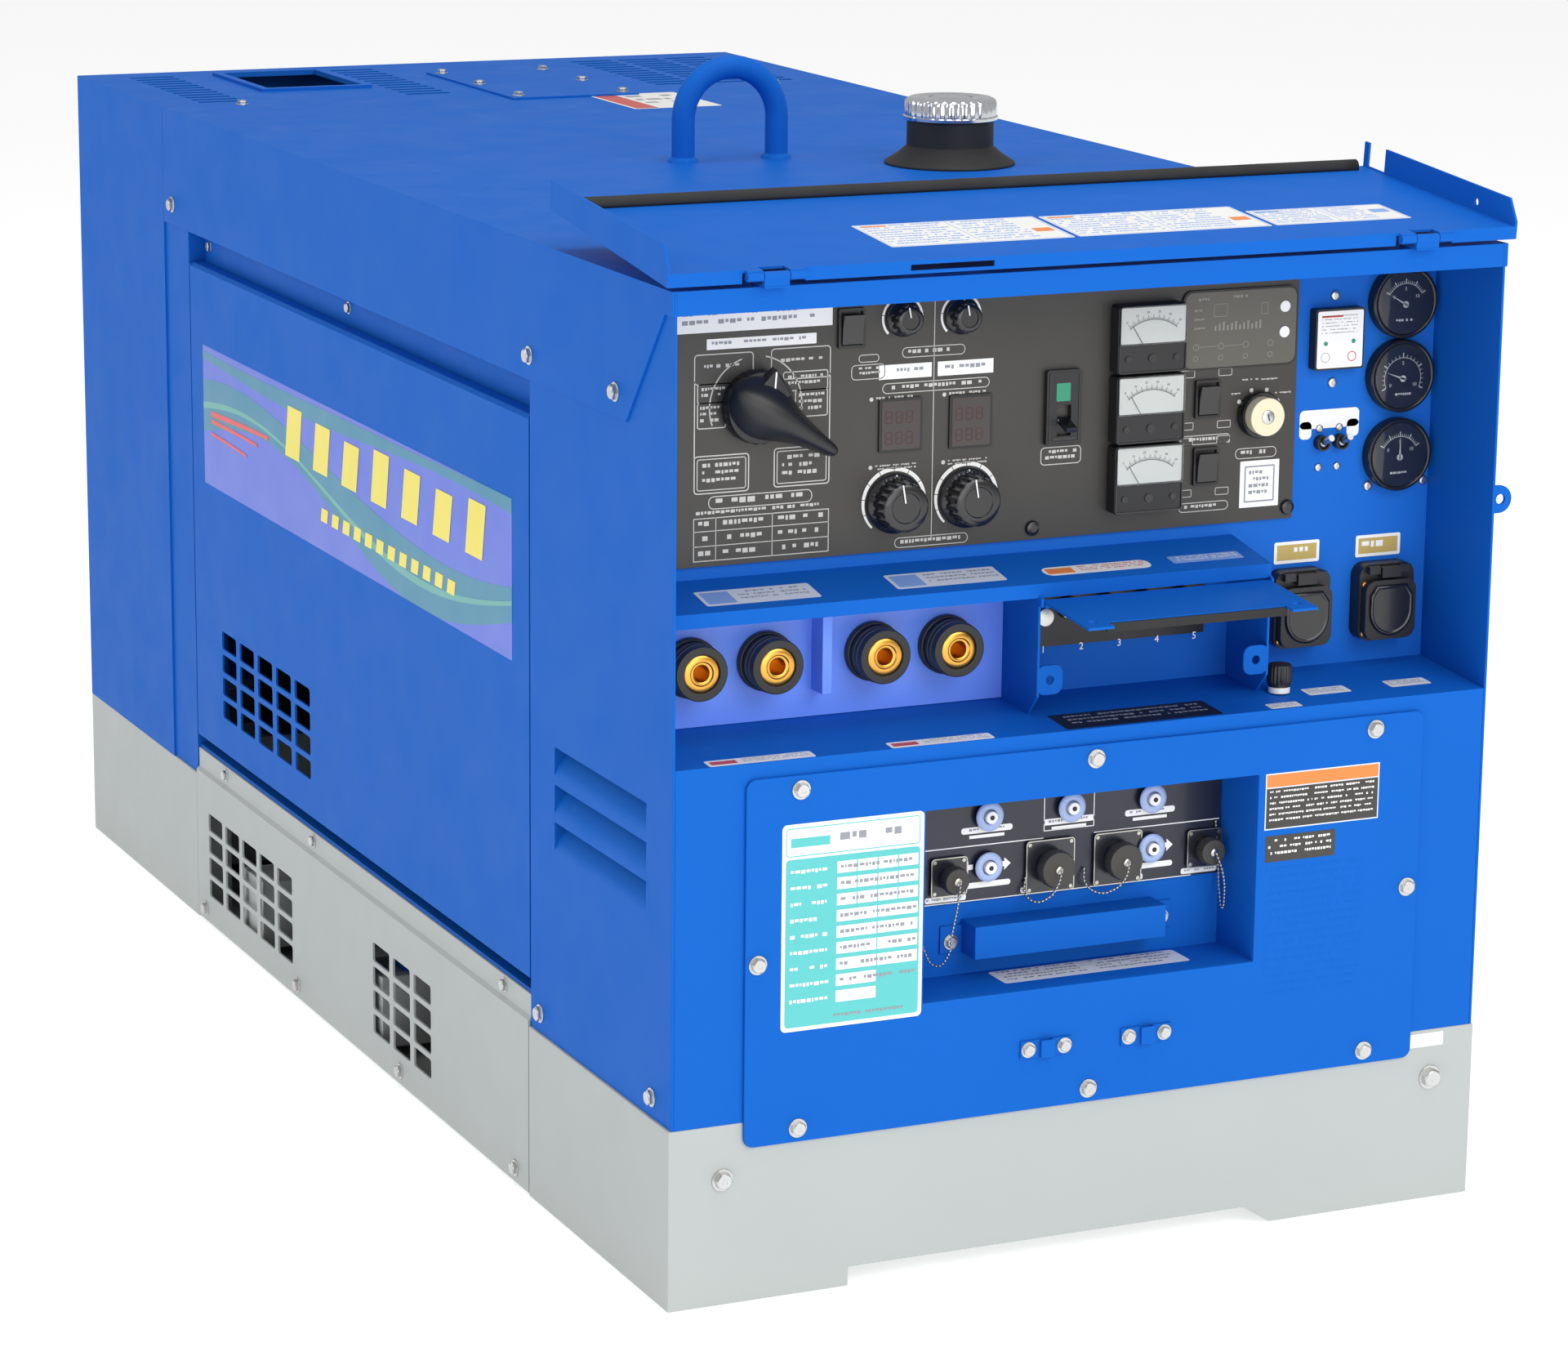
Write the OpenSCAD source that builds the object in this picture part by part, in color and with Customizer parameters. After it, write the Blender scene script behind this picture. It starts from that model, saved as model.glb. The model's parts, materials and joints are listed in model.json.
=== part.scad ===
// Engine driven welder: a sound-proofed enclosure on a steel skid base, with a
// control recess at the front (-Y), a diesel engine, a generator and a radiator.
// Origin: middle of the footprint on the ground. Front face at -Y, roof at +Z.

/* [Enclosure] */
// Width over the bonnet skirts and the base
body_w = 700; // [680:10:860]
// Length from the front sheet to the rear sheet
body_l = 1500; // [1440:10:1840]
// Height of the roof above the ground
body_h = 770; // [750:5:925]
// Thickness of the blue body sheet
sheet = 2; // [1.5:0.1:2.4]
// Length of each front pillar, from the front face to the door
pillar_l = 283; // [260:1:300]
// Length of the rear enclosure's side walls
rear_l = 350; // [340:1:360]
// Length of roof that the rear enclosure keeps behind the bonnet seam
grille_l = 280; // [262:1:300]
// Height of the bonnet's side skirts
skirt_h = 108; // [98:1:112]
// Height of the front lip under the roof's edge
lip_h = 18; // [12:1:20]

/* [Base] */
// Height of the grey base at both ends
base_h = 142; // [130:1:160]
// Thickness of the base plate
base_t = 4; // [3:0.5:5]
// Height of the sling gap between the skids
notch_h = 15; // [10:1:20]
// Width of the left skid
skid_l_w = 149; // [120:1:170]
// Width of the right skid on the ground
skid_r_w = 182; // [150:1:200]
// Width of a crossmember along the body
cross_w = 60; // [50:2:72]

/* [Doors] */
// Gap between a side door and the sheets round it
door_gap = 2.5; // [2:0.5:4]
// Radius of the side door hinge pins
door_pin_r = 2; // [1.5:0.1:2.2]
// Columns of holes in the wide vents
vent_cols = 5; // [3:1:6]
// Size of a vent hole along the body
vent_hole_l = 42; // [30:1:46]
// Size of a vent hole in height
vent_hole_h = 17; // [12:0.5:19]
// Radius of the vent hole corners
vent_hole_r = 3; // [1:0.5:5]

/* [Control recess] */
// Depth of the recess behind the front face
recess_d = 95; // [85:1:105]
// Height of the recess below the roof
recess_h = 352; // [346:1:360]
// Fall of the ledge towards the front
ledge_fall = 7; // [0:1:10]
// Height of the control panel
panel_h = 219; // [214:1:222]
// Thickness of the control panel board
panel_t = 3; // [2:0.5:4]
// Width of the blue gauge strip at the right of the control panel
gauge_strip_w = 126; // [122:1:130]
// Radius of the knob shafts
shaft_r = 3; // [2:0.1:3.4]
// Radial clearance of a shaft in its hole
run_clear = 0.06; // [0.03:0.01:0.09]

/* [Lid] */
// Length of the control lid from its hinge axis
lid_l = 230; // [200:1:232]
// Height of the lid's side flanges
lid_flange_h = 22; // [15:1:24]
// Angle of the open lid above the roof
lid_tilt = 5; // [3:0.5:8]
// Radius of the lid hinge pins
lid_pin_r = 1.8; // [1.2:0.1:2.2]

/* [Welding terminals] */
// Outer radius of a terminal's insulating collar
term_r = 21; // [18:0.5:24]
// Length of a terminal in front of its plate
term_l = 26; // [22:1:40]
// Radius of the brass socket body
socket_r = 14.5; // [11:0.5:16]
// Radius of the socket's bore for the cable plug
socket_bore_r = 6.5; // [5:0.5:8]

/* [Front cover] */
// Width of the cover plate
cover_w = 580; // [520:2:600]
// Thickness of the cover plate
cover_t = 3; // [2:0.5:4]
// Width of its window
window_w = 286; // [280:1:300]
// Height of its window
window_h = 150; // [144:1:156]
// Depth of the receptacle box behind the front sheet
box_d = 58; // [54:1:66]

/* [Lifting and fuel] */
// Diameter of the lifting bar
bar_d = 20; // [16:1:22]
// Outer width of the lifting bar's bow
bow_w = 108; // [100:1:120]
// Height of the bow above the roof
bow_h = 90; // [80:1:100]
// Radius of the fuel filler neck
neck_r = 37.5; // [34:0.5:39]
// Radius of the fuel cap
cap_r = 41; // [40:0.5:44]

/* [Power unit] */
// Height of the crankshaft's axis
crank_z = 300; // [290:1:320]
// Radius of the crankshaft and rotor shaft
crank_r = 20; // [16:0.5:22]
// Outer radius of the generator's housing
gen_r = 150; // [135:1:155]
// Length of the generator's housing
gen_l = 340; // [300:5:350]
// Radius of the cooling fan
fan_r = 150; // [130:1:151]
// Blades on the cooling fan
fan_blades = 7; // [5:1:9]

/* [Hidden] */
$fn = 48;

// Colours
BLUE = [0.16, 0.41, 0.80];
DEEP_BLUE = [0.05, 0.30, 0.66];
GREY = [0.76, 0.78, 0.77];
BLACK = [0.08, 0.08, 0.09];
CHARCOAL = [0.30, 0.29, 0.26];
VIOLET = [0.35, 0.43, 0.84];
BRASS = [0.85, 0.66, 0.32];
STEEL = [0.72, 0.73, 0.75];
IRON = [0.33, 0.35, 0.36];
NAVY = [0.09, 0.10, 0.17];
CREAM = [0.90, 0.88, 0.78];

// Overall planes
hw = body_w / 2;
yf = -body_l / 2;
yr = body_l / 2;
side_x = hw - sheet;
in_x = side_x - sheet;
roof_in = body_h - sheet;
skirt_z = body_h - skirt_h;
seam_y = yr - grille_l;
door_y0 = yf + pillar_l;
door_y1 = yr - rear_l;
skirt_slant_l = 86;
small_gap = 0.4;

// Base
base_in = hw - base_t;
floor_z = notch_h + base_t;
notch_x0 = -hw + skid_l_w;
notch_x1 = hw - skid_r_w;
notch_ramp = 24;
cross_top = floor_z + cross_w;
flange_w = 30;
cover_x = hw - sheet;
cover_z0 = 2;
cover_z1 = base_h + 4;
cover_flange_z1 = cover_z1 + 21;
cover_step = 3;

// Recess
ledge_z = body_h - recess_h;
recess_y = yf + recess_d;
panel_y = recess_y - panel_t;
panel_z0 = body_h - panel_h - 4;
panel_z1 = roof_in - 2;
panel_x0 = -in_x + 1;
panel_x1 = in_x - gauge_strip_w;
function ledge_top(y) = ledge_z + ledge_fall * (y - yf) / recess_d;

// Hood over the welding terminals and the three-phase bay
hood_x1 = panel_x1 - 52;
bay_x0 = panel_x1 - 254;
hood_z = panel_z0 - 10;
hood_drop = 11;
hood_y = yf + 32;
hood_lip = 11;
hood_lip_z0 = hood_z - hood_drop - hood_lip;
ear_w = 22;
ear_h = 23;
ear_z = ledge_z + 32.5;
ear_hole_r = 3.5;

// Three-phase flap, shown raised
flap_pin_r = 1.5;
flap_eye_r = 3.2;
flap_y = hood_y - 2;
flap_z = hood_lip_z0 - 4.5;
flap_l = 74;
flap_lip_at = 63;
flap_lip_h = 8;
flap_tilt = 5;
flap_x0 = bay_x0 + 2.5;
flap_x1 = hood_x1 - 2 - 0.5;

// Welding terminals
plate_t = 5;
plate_y = recess_y - plate_t;
term_z = ledge_z + 54;
term_pitch = 62;
TERM_X = [for (x0 = [-in_x + 49, -in_x + 200]) for (i = [0, 1]) x0 + i * term_pitch];
rib_x = -in_x + 150;

// Front cover
cover_bottom = base_h - 20;
cover_top = ledge_z - 12;
window_z0 = cover_bottom + 96;
window_z1 = window_z0 + window_h;
box_wall = 2;
box_y = yf + box_d;
board_z0 = window_z0 + 58;
board_t = 2.5;
board_y = box_y - box_wall - board_t;

// Control panel items: places from the panel's left edge and bottom edge
SELECTOR = [panel_x0 + 102, panel_z0 + 119];
CURRENT_A = [panel_x0 + 217, panel_z0 + 37];
CURRENT_B = [panel_x0 + 278, panel_z0 + 37];
ARC_A = [panel_x0 + 222, panel_z0 + 178];
ARC_B = [panel_x0 + 271, panel_z0 + 177];
ROCKER_MODE = [panel_x0 + 179, panel_z0 + 173];
ROCKER_IDLE = [panel_x0 + 485, panel_z0 + 100];
ROCKER_LAMP = [panel_x0 + 485, panel_z0 + 47];
BREAKER = [panel_x0 + 358, panel_z0 + 102];
KEY = [panel_x0 + 531, panel_z0 + 85];
METER_X = panel_x0 + 429;
METER_Z = [for (i = [0, 1, 2]) panel_z0 + 43 + i * 54.5];
meter_w = 60;
meter_h = 53;
meter_d = 13;
DISPLAY = [panel_x0 + 512, panel_z0 + 154];
display_w = 102;
display_h = 62;
WINDOW_A = [panel_x0 + 221, panel_z0 + 97];
WINDOW_B = [panel_x0 + 280, panel_z0 + 96];
rocker_w = 17;
rocker_h = 25;
rocker_frame = 2;
rocker_tilt = 9;
big_knob_r = 23;
small_knob_r = 14;
knob_lift = 0.4;
toggle_r = 2.6;
toggle_len = 15;
toggle_tilt = 25;

// Gauge strip items
GAUGE_X = in_x - 33;
GAUGE_Z = [body_h - 178, body_h - 115, body_h - 56];
gauge_r = 29;
TOGGLE_X = [in_x - 101, in_x - 84];
toggle_z = body_h - 165;
RELAY = [in_x - 92, body_h - 82];
OUTLET_X = [in_x - 120, in_x - 43];
outlet_z = ledge_z + 57;
outlet_w = 50;
outlet_h = 62;
outlet_d = 14;
outlet_lid_t = 7;
outlet_pin_r = 1.5;
outlet_pin_y = recess_y - outlet_d - 3.2;

// Lid hinge
hinge_y = yf - 6;
hinge_z = body_h + 8.5;
hinge_x = hw - 78;
barrel_r = 3.5;
barrel_l = 20;
eye_l = 13;
lid_out = hw + 5;
lid_b0 = 2.5;
lid_b1 = lid_b0 + sheet;
apron_b = -5.5;
lug_z = body_h - 202;
lug_h = 22;
lug_x = hw + 5;

// Side doors
door_z0 = base_h + 39;
door_z1 = body_h - 137;
door_axis_x = in_x - 3.5;
door_axis_z = door_z0 + 5;
door_eye_r = 3.5;
door_eye_l = 16;
door_lip = 14;
door_return = 12;
DOOR_HINGES = [door_y0 + 80, (door_y0 + door_y1) / 2, door_y1 - 80];
sill_top = door_z0 - 11;
rail_x = in_x - 26;
header_x = in_x - 16;

// Lower receptacles and protectors
rec_z = board_z0 + 22;
REC_X = [-96, -9, 50, 127];
REC_R = [11, 15, 15, 11];
btn_low_z = board_z0 + 27;
btn_high_z = board_z0 + 67;
BUTTONS = [[-63, btn_low_z], [79, btn_low_z], [-63, btn_high_z], [8, btn_high_z], [79, btn_high_z]];
btn_r = 5;
btn_travel = 3;

// Lifting bow and fuel filler
bow_x = -8;
bow_y = -75;
bow_c = bow_w / 2 - bar_d / 2;
bow_z = body_h + bow_h - bow_w / 2;
beam_top = body_h - 8;
beam_h = 24;
post_w = 34;
post_x0 = rail_x - post_w;
fill_x = 160;
fill_y = -164;
neck_top = body_h + 38;
plug_r = 30;
cap_h = 20;

// Power unit, set from the radiator forwards
rad_y0 = yr - 230;
rad_d = 40;
rad_hw = 240;
rad_z0 = base_h;
rad_z1 = body_h - 150;
shroud_l = 44;
fan_y = rad_y0 - 24;
fan_t = 22;
block_y1 = rad_y0 - 190;
block_l = 430;
block_y0 = block_y1 - block_l;
block_hw = 120;
head_top = crank_z + 200;
gen_y1 = block_y0;
gen_y0 = gen_y1 - gen_l;
gen_wall = 22;
rotor_gap = 6;
mount_r = 28;
mount_h = 40;
mount_x = 140;
MOUNT_Y = [gen_y0 + 60, block_y1 - 80];
foot_t = 12;
rad_cross_y = rad_y0 + rad_d / 2;
tank_x0 = -270;
tank_x1 = 270;
tank_y0 = -440;
tank_y1 = -15;
tank_z0 = crank_z + gen_r + 90;
tank_z1 = beam_top - beam_h - 5;
muffler_r = 70;
muffler_y = rad_y0 + rad_d + 95;
muffler_z = body_h - 165;
tail_x = -168;
tail_r = 24;
tail_y = yr - 118;
EXHAUST = [[-216, yr - 190], [-120, yr - 50]];
tray_l = 185;

// Roof grille, the plate over the radiator's filler, and the rear wall's louvres
slat_pitch = 20;
PLATE_X = [-20, 110];
plate_y0 = seam_y - 60;
plate_y1 = seam_y + 180;
louvre_w = 440;
louvre_pitch = 34;
louvre_z0 = base_h + 90;

// A box from its two corners
module box(a, b) {
    translate(a) cube(b - a);
}

// Children on the right side and mirrored on the left
module both_sides() {
    for (m = [0, 1]) mirror([m, 0, 0]) children();
}

// An outline in (y, z), extruded along X from x0 by t
module plate_x(x0, t, pts) {
    translate([x0, 0, 0]) rotate([90, 0, 90]) linear_extrude(t) polygon(pts);
}

// An outline in (x, z), extruded along Y from y0 by l
module bar_y(y0, l, pts) {
    translate([0, y0 + l, 0]) rotate([90, 0, 0]) linear_extrude(l) polygon(pts);
}

// A cylinder along +Y from y0
module rod_y(x, y0, z, r, l) {
    translate([x, y0, z]) rotate([-90, 0, 0]) cylinder(r = r, h = l);
}

// A cylinder along +X from x0
module rod_x(x0, y, z, r, l) {
    translate([x0, y, z]) rotate([0, 90, 0]) cylinder(r = r, h = l);
}

// A rectangle with round corners, centred
module round_rect(w, h, r) {
    union() {
        square([w - 2 * r, h], center = true);
        square([w, h - 2 * r], center = true);
        for (sx = [-1, 1]) for (sz = [-1, 1])
            translate([sx * (w / 2 - r), sz * (h / 2 - r)]) circle(r = r, $fn = 24);
    }
}

// A round-cornered slab facing the front, from y0 back by t
module slab_y(x, y0, z, w, h, t, r) {
    translate([x, y0 + t, z]) rotate([90, 0, 0]) linear_extrude(t) round_rect(w, h, r);
}

// A hexagon-headed bolt with its washer, seated at the origin and pointing +Z
module bolt_head(r = 6) {
    cylinder(r = r * 1.25, h = 1, $fn = 24);
    translate([0, 0, 1]) cylinder(r = r, h = 4, $fn = 6);
}

// A grid of vent holes in a side sheet, cut through along X
module vent_holes(x0, y0, z0, cols, rows, pitch_y, pitch_z) {
    for (i = [0:cols - 1]) for (j = [0:rows - 1])
        translate([x0, y0 + (i + 0.5) * pitch_y, z0 + (j + 0.5) * pitch_z])
            rotate([90, 0, 90]) linear_extrude(12)
                round_rect(vent_hole_l, vent_hole_h, vent_hole_r);
}

// ---- Base ----

// Outline of the skid plate across the body
function skid_outline(w) = [
    [-w, floor_z], [-w, 0], [notch_x0, 0], [notch_x0, notch_h],
    [notch_x1 - notch_ramp, notch_h], [notch_x1, 0], [w, 0], [w, floor_z],
    [w - base_t, floor_z], [w - base_t, base_t], [notch_x1 + base_t, base_t],
    [notch_x1 - notch_ramp + base_t, floor_z], [notch_x0 - base_t, floor_z],
    [notch_x0 - base_t, base_t], [-w + base_t, base_t], [-w + base_t, floor_z]];

// Outline of an end wall, with the sling gap
function end_outline() = [
    [-hw, 0], [notch_x0, 0], [notch_x0, notch_h], [notch_x1 - notch_ramp, notch_h],
    [notch_x1, 0], [hw, 0], [hw, base_h], [-hw, base_h]];

module base_frame() {
    color(GREY) union() {
        bar_y(yf, door_y0 - yf, skid_outline(hw));
        bar_y(door_y0, door_y1 - door_y0, skid_outline(cover_x));
        bar_y(door_y1, yr - door_y1, skid_outline(hw));
        bar_y(yf, base_t, end_outline());
        bar_y(yr - base_t, base_t, end_outline());
        both_sides() {
            box([base_in, yf, 0], [hw, door_y0, base_h]);
            box([base_in, door_y1, 0], [hw, yr, base_h]);
            for (z = [base_h - base_t]) {
                box([base_in - flange_w, yf + base_t, z], [base_in, door_y0, base_h]);
                box([base_in - flange_w, door_y1, z], [base_in, yr - base_t, base_h]);
            }
            box([hw - 190, yf + flange_w, base_h - base_t], [base_in, yf + flange_w + tray_l, base_h]);
            // posts join the low side walls to the doorway's ends
            box([base_in - flange_w, door_y0 - base_t, 0], [base_in, door_y0, base_h]);
            box([base_in - flange_w, door_y1, 0], [base_in, door_y1 + base_t, base_h]);
        }
        for (y = [yf + base_t, yr - base_t - flange_w])
            box([-base_in, y, base_h - base_t], [base_in, y + flange_w, base_h]);
        for (y = [MOUNT_Y[0], bow_y, MOUNT_Y[1]])
            box([-cover_x + base_t, y - cross_w / 2, notch_h], [cover_x - base_t, y + cross_w / 2, cross_top]);
        box([-base_in, rad_cross_y - cross_w / 2, notch_h], [base_in, rad_cross_y + cross_w / 2, base_h]);
    }
}

// Removable grey covers along both sides of the base, with air inlets
module lower_side_covers() {
    y0 = door_y0 + 1;
    y1 = door_y1 - 1;
    pitch_y = 51;
    pitch_z = 21.5;
    vent_z = 27;
    flange_x = cover_x - cover_step;
    color(GREY) both_sides() difference() {
        bar_y(y0, y1 - y0, [
            [hw, cover_z0], [hw, cover_z1], [hw - cover_step, cover_z1 + cover_step],
            [hw - cover_step, cover_flange_z1], [flange_x, cover_flange_z1],
            [flange_x, cover_z1 + cover_step - 1], [cover_x, cover_z1 - 1], [cover_x, cover_z0]]);
        vent_holes(cover_x - 4, door_y1 - 286, vent_z, vent_cols, 4, pitch_y, pitch_z);
        vent_holes(cover_x - 4, door_y0 + 220, vent_z, 3, 4, pitch_y, pitch_z);
    }
}

// Sill and header rails that frame each side doorway, with the door's hinge pins
module side_rails() {
    web = cover_x - cover_step;
    color(BLUE) both_sides() {
        union() {
            bar_y(door_y0, door_y1 - door_y0, [
                [web, cover_z1 - 2], [web, sill_top], [rail_x, sill_top], [rail_x, sill_top - sheet],
                [web - sheet, sill_top - sheet], [web - sheet, cover_z1 - 2]]);
            for (y = DOOR_HINGES) {
                for (s = [-1, 1]) translate([0, y + s * (door_eye_l / 2 + 2.5), 0]) {
                    box([rail_x, -2, sill_top - 1], [rail_x + 10, 2, door_axis_z + 3]);
                    box([rail_x + 9, -2, door_axis_z - 2], [door_axis_x, 2, door_axis_z + 3]);
                    rod_y(door_axis_x, -2, door_axis_z, 2.9, 4);
                }
                rod_y(door_axis_x, y - door_eye_l / 2 - 4, door_axis_z, door_pin_r, door_eye_l + 8);
            }
        }
        bar_y(door_y0, door_y1 - door_y0, [
            [side_x, skirt_z + 2], [side_x, skirt_z + 4], [header_x, skirt_z + 4],
            [header_x, door_z1 - 35], [header_x + sheet, door_z1 - 35], [header_x + sheet, skirt_z + 2]]);
    }
}

// ---- Body sheets ----

// One inward louvre of a side sheet: a curved blade that rises from the slot's foot
// at z, between two cheeks
module louvre(x, y0, y1, z, depth, h) {
    bar_y(y0 - sheet, y1 - y0 + 2 * sheet, [[x - sheet, z - 3], [x, z - 3], [x, z],
        [x - 0.2 * depth, z + 0.35 * h], [x - 0.55 * depth, z + 0.7 * h], [x - depth, z + h],
        [x - depth - sheet, z + h], [x - 0.55 * depth - sheet, z + 0.7 * h],
        [x - 0.2 * depth - sheet, z + 0.35 * h], [x - sheet, z]]);
    for (y = [y0 - sheet, y1]) bar_y(y, sheet, [[x - sheet, z - 3], [x - sheet, z + h],
        [x - depth - sheet, z + h], [x - 0.2 * depth - sheet, z + 0.35 * h]]);
}

// Side sheets of the front pillars, each with three louvres and an inner return
module front_side_panels() {
    louvre_y0 = yf + 49;
    louvre_y1 = yf + 232;
    louvre_step = 30;
    louvre_z = base_h + 157;
    slot_h = 23;
    color(BLUE) both_sides() {
        difference() {
            union() {
                box([in_x, yf, base_h], [side_x, door_y0, roof_in]);
                box([in_x - flange_w, door_y0 - sheet, base_h], [in_x, door_y0, roof_in]);
            }
            for (i = [0:2])
                box([in_x - 1, louvre_y0, louvre_z + i * louvre_step],
                    [side_x + 1, louvre_y1, louvre_z + i * louvre_step + slot_h]);
        }
        for (i = [0:2])
            louvre(side_x, louvre_y0, louvre_y1, louvre_z + i * louvre_step, 14, slot_h - 2);
    }
    // padlock lug at the right of the recess
    color(BLUE) difference() {
        union() {
            box([side_x, yf + 4, lug_z - lug_h / 2], [lug_x, yf + 7, lug_z + lug_h / 2]);
            rod_y(lug_x, yf + 4, lug_z, lug_h / 2, 3);
        }
        rod_y(lug_x + 1, yf + 3, lug_z, 4, 5);
        box([in_x - 2, yf + 3, lug_z - lug_h], [side_x, yf + 8, lug_z + lug_h]);
    }
}

// Lower front sheet with the sloped ledge that floors the recess
module front_panel() {
    color(BLUE) difference() {
        union() {
            box([-in_x, yf, base_h], [in_x, yf + sheet, ledge_z]);
            plate_x(-in_x, 2 * in_x, [[yf, ledge_z], [recess_y, ledge_top(recess_y)],
                [recess_y, ledge_top(recess_y) - sheet], [yf, ledge_z - sheet]]);
        }
        box([-window_w / 2 - 9, yf - 1, window_z0 - 10], [window_w / 2 + 9, yf + sheet + 1, window_z1 + 10]);
    }
}

module bonnet() {
    color(BLUE) difference() {
        union() {
            box([-hw, yf, roof_in], [hw, seam_y - 0.5, body_h]);
            box([-in_x, yf, body_h - lip_h], [in_x, yf + sheet, body_h]);
            both_sides() plate_x(side_x, sheet, [[yf, body_h], [yf, body_h - lip_h],
                [yf + 14, body_h - lip_h], [yf + skirt_slant_l, skirt_z],
                [seam_y - 0.5, skirt_z], [seam_y - 0.5, body_h]]);
        }
        for (s = [-1, 1]) translate([bow_x + s * bow_c, bow_y, roof_in - 1])
            cylinder(r = bar_d / 2 + 0.5, h = sheet + 2);
        translate([fill_x, fill_y, roof_in - 1]) cylinder(r = neck_r + 0.5, h = sheet + 2);
    }
}

// Rear enclosure: side walls, rear wall and the grilled part of the roof, with
// the bolted cover over the radiator's filler
module rear_enclosure() {
    field_w = 44;
    field_pitch = 52;
    field_y0 = seam_y + 14;
    slot_n = floor((grille_l - 34) / slat_pitch);
    louvre_n = floor((body_h - base_h - 190) / louvre_pitch);
    color(BLUE) difference() {
        union() {
            both_sides() {
                box([in_x, door_y1, base_h], [side_x, yr, roof_in]);
                box([in_x - flange_w, door_y1, base_h], [in_x, door_y1 + sheet, roof_in]);
                plate_x(side_x, sheet, [[seam_y, base_h], [seam_y, body_h], [yr, body_h], [yr, base_h]]);
            }
            box([-side_x, yr - sheet, base_h], [side_x, yr, roof_in]);
            box([-hw, seam_y, roof_in], [hw, yr, body_h]);
            // raised frame round the exhaust opening
            box([EXHAUST[0][0] - 8, EXHAUST[0][1] - 8, roof_in], [EXHAUST[1][0] + 8, EXHAUST[1][1] + 8, body_h + 3]);
            for (i = [0:louvre_n])
                plate_x(-louvre_w / 2, louvre_w, louvre_outline(louvre_z0 + i * louvre_pitch));
        }
        for (i = [0:louvre_n])
            box([-louvre_w / 2 + 2, yr - sheet - 1, louvre_z0 + i * louvre_pitch + 2],
                [louvre_w / 2 - 2, yr + 0.5, louvre_z0 + i * louvre_pitch + 12]);
        for (i = [-6:5]) {
            x0 = i * field_pitch + 4;
            x1 = x0 + field_w;
            if ((x1 < EXHAUST[0][0] - 10 || x0 > EXHAUST[1][0] + 10) && (x1 < PLATE_X[0] || x0 > PLATE_X[1]))
                for (j = [0:slot_n - 1])
                    box([x0, field_y0 + j * slat_pitch, roof_in - 1],
                        [x1, field_y0 + j * slat_pitch + slat_pitch / 2, body_h + 1]);
        }
        box([EXHAUST[0][0], EXHAUST[0][1], roof_in - 1], [EXHAUST[1][0], EXHAUST[1][1], body_h + 4]);
    }
    color(BLUE) box([PLATE_X[0], plate_y0, body_h], [PLATE_X[1], plate_y1, body_h + sheet]);
}

// One outward louvre of the rear wall in (y, z), its slot's foot at z
function louvre_outline(z) = [[yr - sheet, z + 16], [yr, z + 16], [yr + 5, z + 3],
    [yr + 4, z + 3], [yr - sheet, z + 13]];

// ---- Control recess ----

// Blue back plate of the recess
module recess_panel() {
    color(DEEP_BLUE) difference() {
        box([-in_x, recess_y, ledge_top(recess_y) - sheet], [in_x, recess_y + sheet, roof_in]);
        knob_holes();
        for (z = GAUGE_Z) rod_y(GAUGE_X, recess_y - 1, z, gauge_r - 3, sheet + 2);
        for (x = OUTLET_X) rod_y(x, recess_y - 1, outlet_z, 21, sheet + 2);
    }
}

// Shaft holes shared by the control panel and the plate behind it
module knob_holes() {
    for (p = [SELECTOR, CURRENT_A, CURRENT_B, ARC_A, ARC_B, KEY])
        rod_y(p[0], panel_y - 1, p[1], shaft_r + run_clear, panel_t + sheet + 2);
}

module control_panel() {
    color(CHARCOAL) difference() {
        box([panel_x0, panel_y, panel_z0], [panel_x1, recess_y, panel_z1]);
        knob_holes();
    }
}

// Sloped hood with its lip, the two bay dividers, the ears and the flap's pin
module terminal_hood() {
    back = recess_y;
    color(BLUE) union() {
        plate_x(-in_x, hood_x1 + in_x, [[back, hood_z], [hood_y, hood_z - hood_drop],
            [hood_y, hood_lip_z0], [hood_y + sheet, hood_lip_z0],
            [hood_y + sheet, hood_z - hood_drop - sheet], [back, hood_z - sheet]]);
        for (x = [bay_x0, hood_x1 - sheet])
            plate_x(x, sheet, [[back, hood_z - 1], [hood_y, hood_z - hood_drop - 1],
                [hood_y, ledge_z + 20], [hood_y + 15, ledge_top(hood_y + 15)], [back, ledge_top(back)]]);
        for (s = [0, 1]) {
            ear_x = s == 0 ? bay_x0 : hood_x1 - ear_w;
            difference() {
                slab_y(ear_x + ear_w / 2, hood_y, ear_z, ear_w, ear_h, sheet, 7);
                rod_y(ear_x + ear_w / 2, hood_y - 1, ear_z, ear_hole_r, sheet + 2);
            }
        }
        // tabs under the lip that hold the flap's pin
        for (x = [bay_x0, hood_x1 - sheet - 0.2])
            plate_x(x, sheet + 0.2, [[flap_y - 2.5, hood_lip_z0], [flap_y - 2.5, flap_z - 2],
                [flap_y + 2.5, flap_z - 2], [hood_y + sheet, hood_lip_z0 - 2], [hood_y + sheet, hood_lip_z0 + 2],
                [hood_y, hood_lip_z0 + 2]]);
        rod_x(bay_x0, flap_y, flap_z, flap_pin_r, hood_x1 - bay_x0);
    }
}

// Insulating plate behind the welding terminals, with a rib between the pairs
module insulator_plate() {
    color(VIOLET) difference() {
        union() {
            box([-in_x, plate_y, ledge_top(recess_y)], [bay_x0, recess_y, hood_z - sheet - 1]);
            box([rib_x, plate_y - 20, ledge_z + 28], [rib_x + 8, plate_y, hood_z - sheet - 5]);
        }
        for (x = TERM_X) rod_y(x, plate_y - 1, term_z, socket_r, plate_t + 2);
    }
}

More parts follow.
